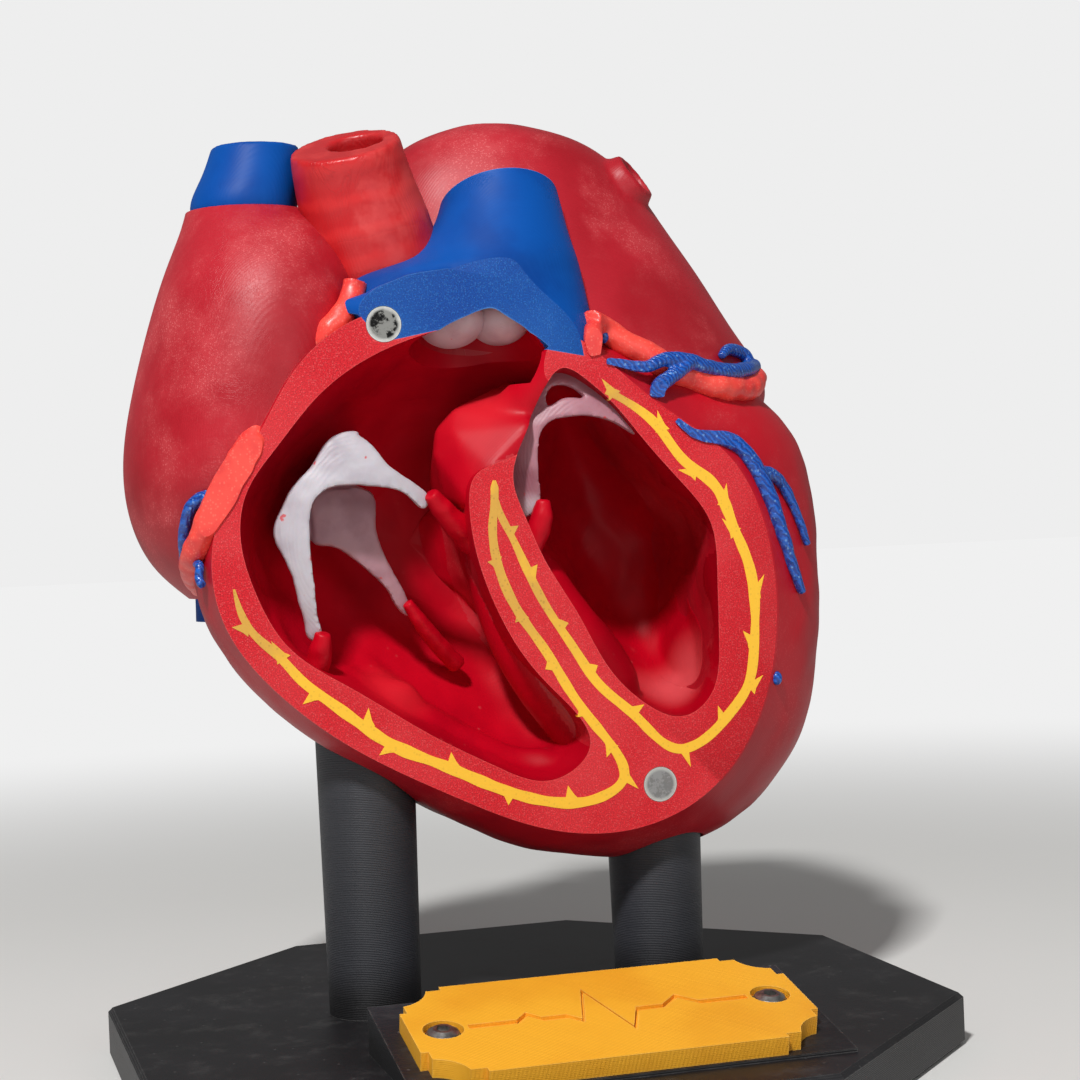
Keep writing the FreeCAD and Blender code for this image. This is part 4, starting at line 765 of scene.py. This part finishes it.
class Bench:
    """Places and wires the nodes of one shader tree."""

    def __init__(self, tree):
        self.tree = tree

    def put(self, kind, settings=None, inputs=None):
        node = self.tree.nodes.new(kind)
        for name, value in (settings or {}).items():
            setattr(node, name, value)
        for name, value in (inputs or {}).items():
            self.feed(node.inputs[name], value)
        return node

    def feed(self, socket, value):
        """Wires or sets one input."""
        if isinstance(value, bpy.types.NodeSocket):
            self.tree.links.new(value, socket)
        else:
            socket.default_value = value

    def vector(self, operation, first, second=None, output=0):
        given = {0: first} if second is None else {0: first, 1: second}
        return self.put("ShaderNodeVectorMath", {"operation": operation}, given).outputs[output]

    def tint(self, tone, mask, share, colour):
        """tone, moved towards colour where mask is 1, by a share."""
        return self.mix(self.math("MULTIPLY", mask, share), tone, colour)

    def math(self, operation, first, second=0.0, third=0.0):
        return self.put("ShaderNodeMath", {"operation": operation},
                        {0: first, 1: second, 2: third}).outputs[0]

    def ramp(self, value, low, high):
        """0 at low, 1 at high, smooth between."""
        return self.put("ShaderNodeMapRange", {"interpolation_type": "SMOOTHSTEP"},
                        {"Value": value, "From Min": low, "From Max": high}).outputs["Result"]

    def mix(self, mask, first, second, way="MIX"):
        """first where mask is 0, second where it is 1."""
        return self.put("ShaderNodeMix", {"data_type": "RGBA", "blend_type": way},
                        {0: mask, 6: first, 7: second}).outputs[2]

    def blend(self, mask, first, second):
        """The same for plain numbers."""
        return self.put("ShaderNodeMix", {"data_type": "FLOAT"},
                        {0: mask, 2: first, 3: second}).outputs[0]

    def spot(self, centre, near, far):
        """1 within near mm of a place, 0 beyond far mm."""
        away = self.vector("DISTANCE", self.place(), tuple(Vector(centre) * MM), "Value")
        return self.math("SUBTRACT", 1.0, self.ramp(away, near * MM, far * MM))

    def place(self):
        return self.put("ShaderNodeTexCoord").outputs["Object"]

    def scaled(self, size):
        """Repeats to the metre for a pattern this many millimetres across."""
        return self.math("DIVIDE", 1000.0, size)

    def noise(self, where, scale, detail=3.0, roughness=0.55, distortion=0.0):
        return self.put("ShaderNodeTexNoise", None, {
            "Vector": where, "Scale": scale, "Detail": detail, "Roughness": roughness,
            "Distortion": distortion}).outputs["Fac"]

    def use(self, effect, **values):
        """One of the shared effects, with its own values."""
        node = self.tree.nodes.new("ShaderNodeGroup")
        node.node_tree = effect
        for name, value in values.items():
            self.feed(node.inputs[name.replace("_", " ")], value)
        return node.outputs[0]


def effect(name, inputs, output):
    """Empty node group with named inputs and one output; returns it, its bench and its inputs."""
    group = bpy.data.node_groups.new(name, "ShaderNodeTree")
    for label, value in inputs.items():
        kind = "NodeSocketVector" if isinstance(value, tuple) else "NodeSocketFloat"
        group.interface.new_socket(label, in_out="INPUT", socket_type=kind).default_value = value
    group.interface.new_socket(output, in_out="OUTPUT", socket_type="NodeSocketFloat")
    bench = Bench(group)
    return group, bench, group.nodes.new("NodeGroupInput").outputs


def close(group, bench, socket):
    group.links.new(socket, bench.put("NodeGroupOutput").inputs[0])
    return group


def make_clouds():
    """Soft patches of one tone in another."""
    group, bench, given = effect("clouds", {"Size": 10.0, "Low": 0.45, "High": 0.6, "Seed": 0.0,
                                            "Ragged": 0.5}, "Mask")
    where = bench.vector("ADD", bench.place(), given["Seed"])
    field = bench.noise(where, bench.scaled(given["Size"]), 5.0, given["Ragged"])
    return close(group, bench, bench.ramp(field, given["Low"], given["High"]))


def make_grain():
    """Sharp little grains, each its own strength; Share of them show."""
    group, bench, given = effect("grain", {"Size": 0.4, "Share": 0.5}, "Mask")
    cells = bench.put("ShaderNodeTexVoronoi", None, {
        "Vector": bench.place(), "Scale": bench.scaled(given["Size"])})
    chance = bench.put("ShaderNodeSeparateColor", None, {"Color": cells.outputs["Color"]}).outputs[0]
    picked = bench.math("GREATER_THAN", chance, bench.math("SUBTRACT", 1.0, given["Share"]))
    middle = bench.math("SUBTRACT", 1.0, bench.ramp(cells.outputs["Distance"], 0.25, 0.6))
    return close(group, bench, bench.math("MULTIPLY", picked, middle))


def make_print_layers():
    """Stacked layers of a print, each a little different, across a direction."""
    group, bench, given = effect("print layers", {"Pitch": 0.3, "Direction": (0.0, 0.0, 1.0),
                                                  "Waver": 0.1}, "Height")
    where = bench.place()
    along = bench.vector("DOT_PRODUCT", where, given["Direction"], "Value")
    drift = bench.math("MULTIPLY", bench.noise(where, 160.0), bench.math("MULTIPLY", given["Waver"], 0.001))
    level = bench.math("DIVIDE", bench.math("MULTIPLY", bench.math("ADD", along, drift), 1000.0),
                       given["Pitch"])
    wave = bench.math("SINE", bench.math("MULTIPLY", level, 2 * math.pi))
    own = bench.put("ShaderNodeTexWhiteNoise", {"noise_dimensions": "1D"},
                    {"W": bench.math("FLOOR", level)}).outputs["Value"]
    height = bench.math("ADD", bench.math("MULTIPLY", wave, 0.32), bench.math("MULTIPLY", own, 0.35))
    return close(group, bench, bench.math("ADD", height, 0.33))


def make_worn_edges():
    """Rubbed edges of a piece."""
    group, bench, given = effect("worn edges", {"Width": 0.4, "Patchy": 0.5}, "Mask")
    rounded = bench.put("ShaderNodeBevel", {"samples": 6},
                        {"Radius": bench.math("MULTIPLY", given["Width"], 0.001)}).outputs[0]
    flat = bench.put("ShaderNodeNewGeometry").outputs["Normal"]
    same = bench.vector("DOT_PRODUCT", rounded, flat, "Value")
    edge = bench.math("SUBTRACT", 1.0, bench.ramp(same, 0.8, 0.985))
    patches = bench.ramp(bench.noise(bench.place(), 420.0, 4.0), 0.38, 0.62)
    return close(group, bench, bench.math("MULTIPLY", edge, bench.blend(given["Patchy"], 1.0, patches)))


def make_dust():
    """Dust and lint that lie on what faces up, and a few on the rest."""
    group, bench, given = effect("dust", {"Amount": 0.5, "Size": 0.5, "Film": 0.5}, "Mask")
    facing = bench.put("ShaderNodeSeparateXYZ", None,
                       {0: bench.put("ShaderNodeNewGeometry").outputs["Normal"]}).outputs[2]
    lying = bench.math("MULTIPLY_ADD", bench.ramp(facing, 0.2, 0.9), 0.85, 0.15)
    cells = bench.put("ShaderNodeTexVoronoi", None, {
        "Vector": bench.place(), "Scale": bench.scaled(bench.math("MULTIPLY", given["Size"], 4.0))})
    specks = bench.math("SUBTRACT", 1.0, bench.ramp(cells.outputs["Distance"], 0.03, 0.1))
    film = bench.ramp(bench.noise(bench.place(), 150.0, 6.0, 0.7), 0.48, 0.8)
    both = bench.math("MAXIMUM", bench.math("MULTIPLY", film, given["Film"]), specks)
    return close(group, bench, bench.math("MULTIPLY", bench.math("MULTIPLY", both, lying), given["Amount"]))


def make_strokes():
    """Curved strokes left by a brush or a sanding pad."""
    group, bench, given = effect("strokes", {"Size": 6.0, "Stretch": (1.0, 1.0, 1.0), "Curl": 3.0}, "Mask")
    where = bench.vector("MULTIPLY", bench.place(), given["Stretch"])
    field = bench.noise(where, bench.scaled(given["Size"]), 6.0, 0.6, given["Curl"])
    fine = bench.math("FRACT", bench.math("MULTIPLY", field, 14.0))
    off_line = bench.math("ABSOLUTE", bench.math("SUBTRACT", fine, 0.5))
    line = bench.math("SUBTRACT", 1.0, bench.ramp(off_line, 0.0, 0.22))
    broad = bench.noise(where, bench.scaled(bench.math("MULTIPLY", given["Size"], 3.0)))
    patch = bench.ramp(broad, 0.5, 0.66)
    return close(group, bench, bench.math("MULTIPLY", line, patch))


CLOUDS, GRAIN, LAYERS = make_clouds(), make_grain(), make_print_layers()
WORN, DUST, STROKES = make_worn_edges(), make_dust(), make_strokes()

# ---------------------------------------------------------------- finishes: materials


def finish(name):
    """Empty material and its bench."""
    made = bpy.data.materials.new(name)
    made.use_nodes = True
    return made, Bench(made.node_tree)


def complete(made, bench, colour, roughness, bumps=(), **constants):
    """Feeds the surface: bumps are (height, depth in mm); constants are the surface's own values."""
    surface = made.node_tree.nodes["Principled BSDF"]
    for name, value in (("Base Color", colour), ("Roughness", roughness)):
        bench.feed(surface.inputs[name], value)
    for name, value in constants.items():
        surface.inputs[name.replace("_", " ")].default_value = value
    normal = None
    for height, depth in bumps:
        bump = bench.put("ShaderNodeBump", None, {"Distance": depth * MM, "Height": height})
        if normal:
            made.node_tree.links.new(normal, bump.inputs["Normal"])
        normal = bump.outputs[0]
    if normal:
        made.node_tree.links.new(normal, surface.inputs["Normal"])
    return made


def outer_red(name, base, deep, frost, seed, frosted=0.3):
    """Sanded and lacquered red skin with soft frosted patches and faint layers."""
    made, bench = finish(name)
    tone = bench.mix(bench.use(CLOUDS, Size=26, Low=0.38, High=0.66, Seed=seed), base, deep)
    patches = bench.use(CLOUDS, Size=17, Low=0.45, High=0.76, Seed=seed + 2, Ragged=0.62)
    scuffs = bench.use(STROKES, Size=11, Curl=2.2)
    tone = bench.tint(tone, patches, frosted, frost)
    tone = bench.tint(tone, scuffs, 0.1, frost)
    # Painted glints: scattered grains in the frosted patches are painted paler.
    grains_and_painted_glints = bench.math("MULTIPLY", bench.use(GRAIN, Size=0.3, Share=0.3), patches)
    tone = bench.tint(tone, grains_and_painted_glints, frosted, shade(232, 124, 124))
    tone = bench.tint(tone, bench.use(WORN, Width=0.35), 0.4, frost)
    tone = bench.tint(tone, bench.spot((31, 0, 131), 6, 12), 0.85, deep)
    layers = bench.use(LAYERS, Pitch=0.3, Direction=(0, 1, 0), Waver=0.25)
    rough = bench.blend(patches, 0.42, 0.58)
    return complete(made, bench, tone, rough, [
        (layers, 0.014), (bench.noise(bench.place(), 900.0), 0.022), (scuffs, 0.012)],
        Coat_Weight=0.05, Coat_Roughness=0.4, Specular_IOR_Level=0.4)


def cut_surface(name, base, light, dark, pale_edge):
    """Flat grainy surface of the cut; scattered grains are glossier and painted paler, as painted glints."""
    made, bench = finish(name)
    drift = bench.use(CLOUDS, Size=16, Low=0.35, High=0.7, Seed=4)
    fine = bench.noise(bench.place(), 4200.0, 2.0, 0.6)
    tone = bench.mix(bench.ramp(fine, 0.38, 0.66), dark, base)
    tone = bench.tint(tone, drift, 0.2, light)
    # Painted glints: scattered grains painted towards the light tone, also glossier and raised.
    grains_and_painted_glints = bench.use(GRAIN, Size=0.3, Share=0.34)
    tone = bench.tint(tone, grains_and_painted_glints, 0.4, light)
    edge = bench.use(WORN, Width=0.4, Patchy=0.4)
    tone = bench.tint(tone, edge, 0.45, pale_edge)
    rough = bench.blend(grains_and_painted_glints, 0.62, 0.35)
    return complete(made, bench, tone, rough, [(fine, 0.04), (grains_and_painted_glints, 0.04)], Specular_IOR_Level=0.35)


def lining(name, base, deep, bright, painted_light_spots):
    """Smooth lining of a chamber, with a little lint; the last list holds places of painted light, each
    (centre, near, far, share).
    """
    made, bench = finish(name)
    tone = bench.mix(bench.use(CLOUDS, Size=20, Low=0.4, High=0.65, Seed=7), base, deep)
    haze = bench.use(CLOUDS, Size=8, Low=0.58, High=0.78, Seed=9, Ragged=0.65)
    tone = bench.tint(tone, haze, 0.18, bright)
    # Painted light: each place is tinted towards the bright tone, as a painted pool of light or highlight.
    for centre, near, far, share in painted_light_spots:
        tone = bench.tint(tone, bench.spot(centre, near, far), share, bright)
    lint = bench.use(DUST, Amount=0.5, Size=1.2, Film=0.03)
    tone = bench.tint(tone, lint, 0.4, shade(235, 150, 150))
    layers = bench.use(LAYERS, Pitch=0.3, Direction=(0, 1, 0), Waver=0.2)
    return complete(made, bench, tone, bench.blend(haze, 0.42, 0.55), [(layers, 0.008)],
                    Specular_IOR_Level=0.15)


def aorta_skin():
    made, bench = finish("aorta_bright_red")
    bands = bench.use(LAYERS, Pitch=5.5, Direction=(-0.22, -0.2, 0.95), Waver=3.5)
    tone = bench.mix(bench.ramp(bands, 0.3, 0.9), shade(188, 22, 28), shade(208, 36, 38))
    frost = bench.use(CLOUDS, Size=12, Low=0.48, High=0.66, Seed=12, Ragged=0.65)
    tone = bench.tint(tone, frost, 0.4, shade(218, 78, 74))
    foot = bench.spot((-15, 10, 122), 8, 28)
    tone = bench.tint(tone, foot, 0.85, shade(166, 8, 26))
    creases = bench.use(STROKES, Size=16, Stretch=(1.6, 1.6, 0.35), Curl=1.2)
    tone = bench.tint(tone, creases, 0.35, shade(165, 14, 22))
    layers = bench.use(LAYERS, Pitch=0.34, Direction=(0, 1, 0), Waver=0.2)
    return complete(made, bench, tone, bench.blend(frost, 0.36, 0.55),
                    [(bands, 0.12), (layers, 0.02), (creases, 0.06)], Coat_Weight=0.06, Coat_Roughness=0.35)


def vessel_blue():
    made, bench = finish("great_vessel_blue")
    tone = bench.mix(bench.use(CLOUDS, Size=16, Low=0.4, High=0.66, Seed=15),
                     shade(0, 76, 160), shade(0, 62, 142))
    swirl = bench.use(STROKES, Size=8, Stretch=(1.0, 1.0, 1.7), Curl=3.5)
    tone = bench.tint(tone, swirl, 0.3, shade(36, 104, 190))
    tone = bench.tint(tone, bench.use(WORN, Width=0.35), 0.55, shade(110, 160, 215))
    layers = bench.use(LAYERS, Pitch=0.34, Direction=(0, 1, 0), Waver=0.25)
    return complete(made, bench, tone, bench.blend(swirl, 0.5, 0.6), [(layers, 0.014), (swirl, 0.03)],
                    Specular_IOR_Level=0.18)


def vein_blue():
    """Glossy blue, combed across by the tool that laid it."""
    made, bench = finish("vein_gloss_blue")
    where = bench.place()
    combed = bench.put("ShaderNodeTexWave", {"wave_type": "BANDS", "bands_direction": "DIAGONAL"}, {
        "Vector": where, "Scale": 520.0, "Distortion": 7.0, "Detail": 3.0, "Detail Scale": 1.2}).outputs["Fac"]
    tone = bench.mix(combed, shade(0, 52, 140), shade(14, 92, 190))
    nicks = bench.use(GRAIN, Size=0.5, Share=0.12)
    tone = bench.tint(tone, nicks, 0.5, shade(130, 180, 230))
    return complete(made, bench, tone, 0.3, [(combed, 0.12)], Coat_Weight=0.5, Coat_Roughness=0.18)


def artery_red():
    made, bench = finish("artery_coral_red")
    tone = bench.mix(bench.use(CLOUDS, Size=6, Low=0.4, High=0.65, Seed=21),
                     shade(246, 74, 62), shade(226, 54, 50))
    tone = bench.tint(tone, bench.use(GRAIN, Size=0.4, Share=0.3), 0.25, shade(255, 150, 130))
    skin_grain = bench.noise(bench.place(), 1300.0)
    return complete(made, bench, tone, 0.4, [(skin_grain, 0.04)], Coat_Weight=0.2, Coat_Roughness=0.3,
                    Subsurface_Weight=0.06, Subsurface_Scale=0.002)


def valve_white(name, base, shaded, tip=(0, 0, 0)):
    """Pale valve skin, whitest near its tip, where a painted highlight goes."""
    made, bench = finish(name)
    tone = bench.mix(bench.use(CLOUDS, Size=8, Low=0.42, High=0.7, Seed=25), base, shaded)
    # Painted highlight: within 2 to 5 mm of the tip the skin turns near white.
    tone = bench.mix(bench.spot(tip, 2, 5), tone, shade(214, 208, 214))
    spots = bench.use(CLOUDS, Size=2.4, Low=0.68, High=0.71, Seed=28, Ragged=0.4)
    tone = bench.tint(tone, spots, 0.8, shade(196, 40, 44))
    ridges = bench.use(LAYERS, Pitch=0.3, Direction=(0, 1, 0), Waver=0.3)
    return complete(made, bench, tone, 0.45, [(ridges, 0.02), (bench.noise(bench.place(), 1100.0), 0.03)],
                    Subsurface_Weight=0.12, Subsurface_Scale=0.002)


def inlay_yellow():
    made, bench = finish("strand_yellow")
    dull = bench.math("MAXIMUM", bench.spot((-2, -10, 90), 10, 30), bench.spot((-47, -10, 79), 4, 14))
    dull = bench.math("MAXIMUM", dull, bench.spot((16, -10, 115), 2, 9))
    dull = bench.math("MULTIPLY", dull, bench.use(CLOUDS, Size=9, Low=0.2, High=0.5, Seed=31))
    tone = bench.mix(dull, shade(246, 190, 44), shade(212, 160, 62))
    grit = bench.use(GRAIN, Size=0.45, Share=0.16)
    tone = bench.tint(tone, grit, bench.blend(dull, 0.15, 0.35), shade(140, 100, 44))
    return complete(made, bench, tone, 0.5, [(bench.noise(bench.place(), 1800.0), 0.04)])


def magnet_steel(name, patch, ring_tone, centre):
    """Nickel disc, clean at its rim and stained in its middle."""
    made, bench = finish(name)
    stain = bench.use(CLOUDS, Size=1.9, Low=0.46, High=0.56, Seed=35, Ragged=0.75)
    tone = bench.mix(stain, ring_tone, patch)
    tone = bench.mix(bench.spot(centre, 2.2, 2.7), shade(196, 196, 192), tone)
    rim = bench.use(WORN, Width=0.5, Patchy=0.2)
    tone = bench.mix(rim, tone, shade(228, 228, 224))
    rough = bench.blend(stain, 0.32, 0.6)
    return complete(made, bench, tone, rough, [(bench.noise(bench.place(), 2400.0), 0.02)], Metallic=0.75)


def black_print():
    """Matt black print: horizontal layers, dust and pale worn edges; its posts painted lighter than its base,
    as painted light.
    """
    made, bench = finish("stand_black")
    drift = bench.use(CLOUDS, Size=25, Low=0.35, High=0.7, Seed=41)
    # Painted light: above about 11 to 20 mm, on the posts, the black is painted lighter than on the base.
    height = bench.put("ShaderNodeSeparateXYZ", None, {0: bench.place()}).outputs[2]
    tone = bench.mix(bench.ramp(height, 0.011, 0.02), bench.mix(drift, shade(16, 15, 17), shade(25, 24, 27)),
                     bench.mix(drift, shade(44, 45, 50), shade(54, 55, 61)))
    dust = bench.use(DUST, Amount=0.5, Size=0.8)
    tone = bench.tint(tone, dust, 0.4, shade(150, 148, 145))
    edge = bench.use(WORN, Width=0.5, Patchy=0.8)
    tone = bench.tint(tone, edge, 0.35, shade(120, 118, 116))
    layers = bench.use(LAYERS, Pitch=0.3, Direction=(0, 0, 1), Waver=0.05)
    swirl = bench.use(STROKES, Size=12, Curl=1.0)
    return complete(made, bench, tone, bench.blend(dust, 0.5, 0.8), [(layers, 0.05), (swirl, 0.015)])


def plate_yellow():
    made, bench = finish("plaque_yellow")
    tone = bench.mix(bench.use(CLOUDS, Size=20, Low=0.4, High=0.66, Seed=45),
                     shade(246, 178, 44), shade(236, 164, 36))
    lines = bench.use(LAYERS, Pitch=0.45, Direction=(0.7, 0.7, 0), Waver=0.1)
    tone = bench.tint(tone, lines, 0.12, shade(205, 120, 18))
    edge = bench.use(WORN, Width=0.4, Patchy=0.5)
    tone = bench.tint(tone, edge, 0.45, shade(255, 214, 120))
    sides = bench.use(LAYERS, Pitch=0.3, Direction=(0, -0.21, 0.977), Waver=0.05)
    return complete(made, bench, tone, 0.46, [(lines, 0.03), (sides, 0.03)])


def screw_steel():
    made, bench = finish("screw_steel")
    tone = bench.mix(bench.use(CLOUDS, Size=1.4, Low=0.4, High=0.7, Seed=48),
                     shade(168, 166, 162), shade(120, 118, 116))
    turned = bench.noise(bench.place(), 3000.0, 2.0)
    return complete(made, bench, tone, bench.blend(turned, 0.28, 0.45), [(turned, 0.01)], Metallic=0.95)


heart_red = outer_red("heart_red", shade(184, 6, 29), shade(162, 2, 25), shade(200, 56, 62), 1)
atrium_red = outer_red("atrium_red", shade(180, 24, 40), shade(158, 8, 26), shade(204, 76, 80), 11, 0.55)
cut_red = cut_surface("cut_face_red", shade(224, 28, 42), shade(236, 88, 90),
                        shade(180, 12, 28), shade(232, 106, 102))
cut_blue = cut_surface("cut_face_blue", shade(0, 78, 166), shade(36, 118, 196),
                        shade(0, 54, 132), shade(96, 160, 218))
# Painted light in the lining places below: the lit septum flap and wall ridges of the right chamber, and the
# lit patch low on the left chamber's outer wall. The left lining's base and deep tones, darker than the
# right's, are painted shade.
right_lining = lining("right_chamber_lining", shade(190, 3, 28), shade(168, 0, 24), shade(214, 38, 48), [
    ((-1, 3, 108), 6, 13, 0.75), ((-27, 5, 82), 3, 10, 0.6), ((-20, 2, 66), 3, 9, 0.4)])
left_lining = lining("left_chamber_lining", shade(180, 0, 25), shade(156, 0, 20), shade(226, 96, 100), [
    ((33, 6, 63), 2, 12, 0.6)])
aorta_red, trunk_blue, vein_finish = aorta_skin(), vessel_blue(), vein_blue()
coral, yellow = artery_red(), inlay_yellow()
white = valve_white("valve_white", shade(188, 183, 190), shade(166, 157, 166))
cusp_pink = valve_white("cusp_pale", shade(190, 160, 166), shade(166, 134, 141))
# The rear leaflet and the mitral valve get darker, pinker copies of the valve white, as painted shade; the
# mitral valve's tip carries a painted highlight.
rear_white_painted_shade = valve_white("rear_leaflet_white_painted_shade", shade(176, 134, 143), shade(152, 108, 118))
collar_white_painted_shade = valve_white("mitral_white_painted_shade", shade(168, 116, 127), shade(140, 82, 94), (2, -8, 94))
worn_magnet = magnet_steel("magnet_stained", shade(24, 24, 24), shade(140, 140, 136), (-22.9, -10, 127.3))
plain_magnet = magnet_steel("magnet_plain", shade(140, 140, 140), shade(158, 158, 158), (23, -10, 46.4))
black, plaque, steel = black_print(), plate_yellow(), screw_steel()

# ---------------------------------------------------------------- dressing the pieces


def inside(points, outline):
    """Which (x, z) points lie inside an outline."""
    x, z = points[:, 0], points[:, 1]
    result = np.zeros(len(points), bool)
    for (ax, az), (bx, bz) in zip(outline, outline[1:] + outline[:1]):
        crosses = (az > z) != (bz > z)
        result ^= crosses & (x < (bx - ax) * (z - az) / (bz - az + 1e-12) + ax)
    return result


def smooth_sides(piece, angle=38):
    """Smooth shading, broken only at real edges."""
    work = bmesh.new()
    work.from_mesh(piece.data)
    for face in work.faces:
        face.smooth = True
    for edge in work.edges:
        edge.smooth = edge.calc_face_angle(0) < math.radians(angle)
    work.to_mesh(piece.data)
    work.free()


def dress(piece, replaced, finishes, sort=None, body_name="heart"):
    """Gives a piece its finishes and its body, and hides the CAD node it stands in for; sort picks a finish
    for each face.
    """
    smooth_sides(piece)
    mesh = piece.data
    mesh.materials.clear()
    for one in finishes:
        mesh.materials.append(one)
    picks = np.zeros(len(mesh.polygons), int)
    if sort:
        picks = sort(vectors_of(mesh.polygons, "center") / MM, vectors_of(mesh.polygons, "normal"))
    mesh.polygons.foreach_set("material_index", picks.astype(np.int32))
    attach(piece, body_name)
    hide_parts(replaced)


def on_cut(centres, normals):
    return (np.abs(centres[:, 1] - FACE) < 0.05) & (normals[:, 1] < -0.99)


def sort_muscle(centres, normals):
    picks = np.zeros(len(centres), int)
    flat = centres[:, [0, 2]]
    picks[inside(flat, grown(LEFT_CHAMBER, LEFT_MIDDLE, 1.03)) & (centres[:, 1] < 29)] = 3
    picks[inside(flat, grown(RIGHT_CHAMBER, RIGHT_MIDDLE, 1.03)) & (centres[:, 1] < 20)] = 2
    picks[on_cut(centres, normals)] = 1
    return picks


def sort_cut(centres, normals):
    return on_cut(centres, normals).astype(int)


def sort_trunk(centres, normals):
    """The trunk's inside, low round its valve, is lined like the chamber."""
    picks = sort_cut(centres, normals)
    table = np.array(TRUNK_BORE)
    left, right, front, back = (np.interp(centres[:, 2], table[:, 0], table[:, k]) for k in (1, 2, 3, 4))
    across = (centres[:, 0] - (left + right) / 2) / (right - left) * 2
    along = (centres[:, 1] - (front + back) / 2) / (back - front) * 2
    inner = (across ** 2 + along ** 2 < 1.15) & (centres[:, 2] < 136)
    picks[inner & (picks == 0)] = 2
    return picks


dress(muscle, "ventricle_wall", [heart_red, cut_red, right_lining, left_lining], sort_muscle)
dress(trunk, "pulmonary_trunk", [trunk_blue, cut_blue, right_lining], sort_trunk)
dress(aorta, "ascending_aorta", [aorta_red])
dress(right_atrium, "right_atrium", [atrium_red])
dress(left_atrium, "left_atrium", [atrium_red])
dress(upper_cava, "superior_vena_cava", [trunk_blue])
dress(lower_cava, "inferior_vena_cava", [trunk_blue])
for piece, node in ((right_artery, "right_coronary_artery"), (left_artery, "left_coronary_artery"),
                    (rear_artery, "posterior_descending_artery")):
    dress(piece, node, [coral])
for piece, node in ((great_vein, "great_cardiac_vein"), (edge_vein, "left_marginal_vein"),
                    (small_vein, "small_cardiac_vein"), (sinus_vein, "coronary_sinus"),
                    (middle_vein, "middle_cardiac_vein")):
    dress(piece, node, [vein_finish])
for piece, node, tone in ((front_leaflet, "tricuspid_front_leaflet", white),
                          (rear_leaflet, "tricuspid_rear_leaflet", rear_white_painted_shade),
                          (mitral, "mitral_valve", collar_white_painted_shade)):
    dress(piece, node, [tone])
for piece, node in zip(cusps, CUSPS):
    dress(piece, node, [cusp_pink])
for piece, made in zip(papillaries, [right_lining] * 4 + [left_lining]):
    dress(piece, piece.name.replace("_skin", ""), [made])
dress(left_strand, "left_conduction_strand", [yellow])
dress(right_strand, "right_conduction_strand", [yellow])

for node, made in (("upper_magnet", worn_magnet), ("apex_magnet", plain_magnet), ("name_plate", plaque),
                   ("left_plate_screw", steel), ("right_plate_screw", steel), ("base_plate", black),
                   ("left_post", black), ("right_post", black), ("nameplate_wedge", black)):
    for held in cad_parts[node].material_slots:
        held.material = made
discard(muscle_whole, trunk_whole, right_atrium_whole, aorta_whole, upper_cava_whole, right_hollow,
        left_hollow, front_half, just_in_front)

# ---------------------------------------------------------------- floor, light and camera


BACKDROP = 238


def floor_finish():
    """Pale floor that fades, seen from a distance, into the backdrop."""
    made, bench = finish("pale_floor")
    tone = bench.mix(bench.use(CLOUDS, Size=400, Low=0.3, High=0.7),
                     shade(228, 227, 224), shade(223, 222, 219))
    away = bench.vector("LENGTH", bench.place(), output="Value")
    fade = bench.ramp(away, 0.16, 0.6)
    seen = bench.math("MULTIPLY", fade, bench.put("ShaderNodeLightPath").outputs["Is Camera Ray"])
    glow = bench.mix(seen, shade(0, 0, 0), shade(BACKDROP, BACKDROP, BACKDROP))
    made = complete(made, bench, bench.mix(seen, tone, shade(0, 0, 0)), 0.7, Emission_Strength=1.0,
                    Specular_IOR_Level=0.2)
    made.node_tree.links.new(glow, made.node_tree.nodes["Principled BSDF"].inputs["Emission Color"])
    return made


floor = box("floor", (-4000, -4000, -30), (4000, 4000, 0))
floor.data.materials.append(floor_finish())


def set_world():
    """Soft pale surround, seen at full strength by the camera and weaker by the object."""
    world = bpy.data.worlds.new("studio")
    bpy.context.scene.world = world
    world.use_nodes = True
    bench = Bench(world.node_tree)
    seen = bench.put("ShaderNodeLightPath").outputs["Is Camera Ray"]
    ground = world.node_tree.nodes["Background"]
    ground.inputs["Color"].default_value = shade(BACKDROP, BACKDROP, BACKDROP)
    world.node_tree.links.new(bench.blend(seen, 0.22, 1.0), ground.inputs["Strength"])


def lamp(name, place, aim, size, power):
    light = bpy.data.lights.new(name, "AREA")
    light.size, light.energy = size, power
    stand = placed(name, light)
    stand.location = place
    stand.rotation_euler = (Vector(aim) - Vector(place)).to_track_quat("-Z", "Y").to_euler()


set_world()
lamp("key_light", (-0.43, -0.66, 0.94), (0, 0, 0.1), 0.1, 13.6)
lamp("front_light", (0.35, -1.2, 0.45), (0, 0, 0.09), 0.6, 1.8)

HEADING, TILT, ROLL = (math.radians(angle) for angle in (-16.5, 0.6, -2.35))
CAMERA_AT = Vector((-0.10353, -0.36936, 0.09382))
LENS = 72.79


def set_camera():
    lens = bpy.data.cameras.new("camera")
    lens.sensor_fit, lens.sensor_width, lens.lens = "HORIZONTAL", 36.0, LENS
    lens.clip_start = 0.01
    stand = placed("camera", lens)
    backwards = Vector((math.sin(HEADING) * math.cos(TILT), -math.cos(HEADING) * math.cos(TILT),
                        math.sin(TILT)))
    sideways = Vector((0, 0, 1)).cross(backwards).normalized()
    upwards = backwards.cross(sideways)
    across = sideways * math.cos(ROLL) + upwards * math.sin(ROLL)
    upright = upwards * math.cos(ROLL) - sideways * math.sin(ROLL)
    turned = Matrix((across, upright, backwards)).transposed().to_4x4()
    stand.matrix_world = Matrix.Translation(CAMERA_AT) @ turned
    bpy.context.scene.camera = stand


set_camera()
bpy.context.scene.view_settings.view_transform = "Standard"
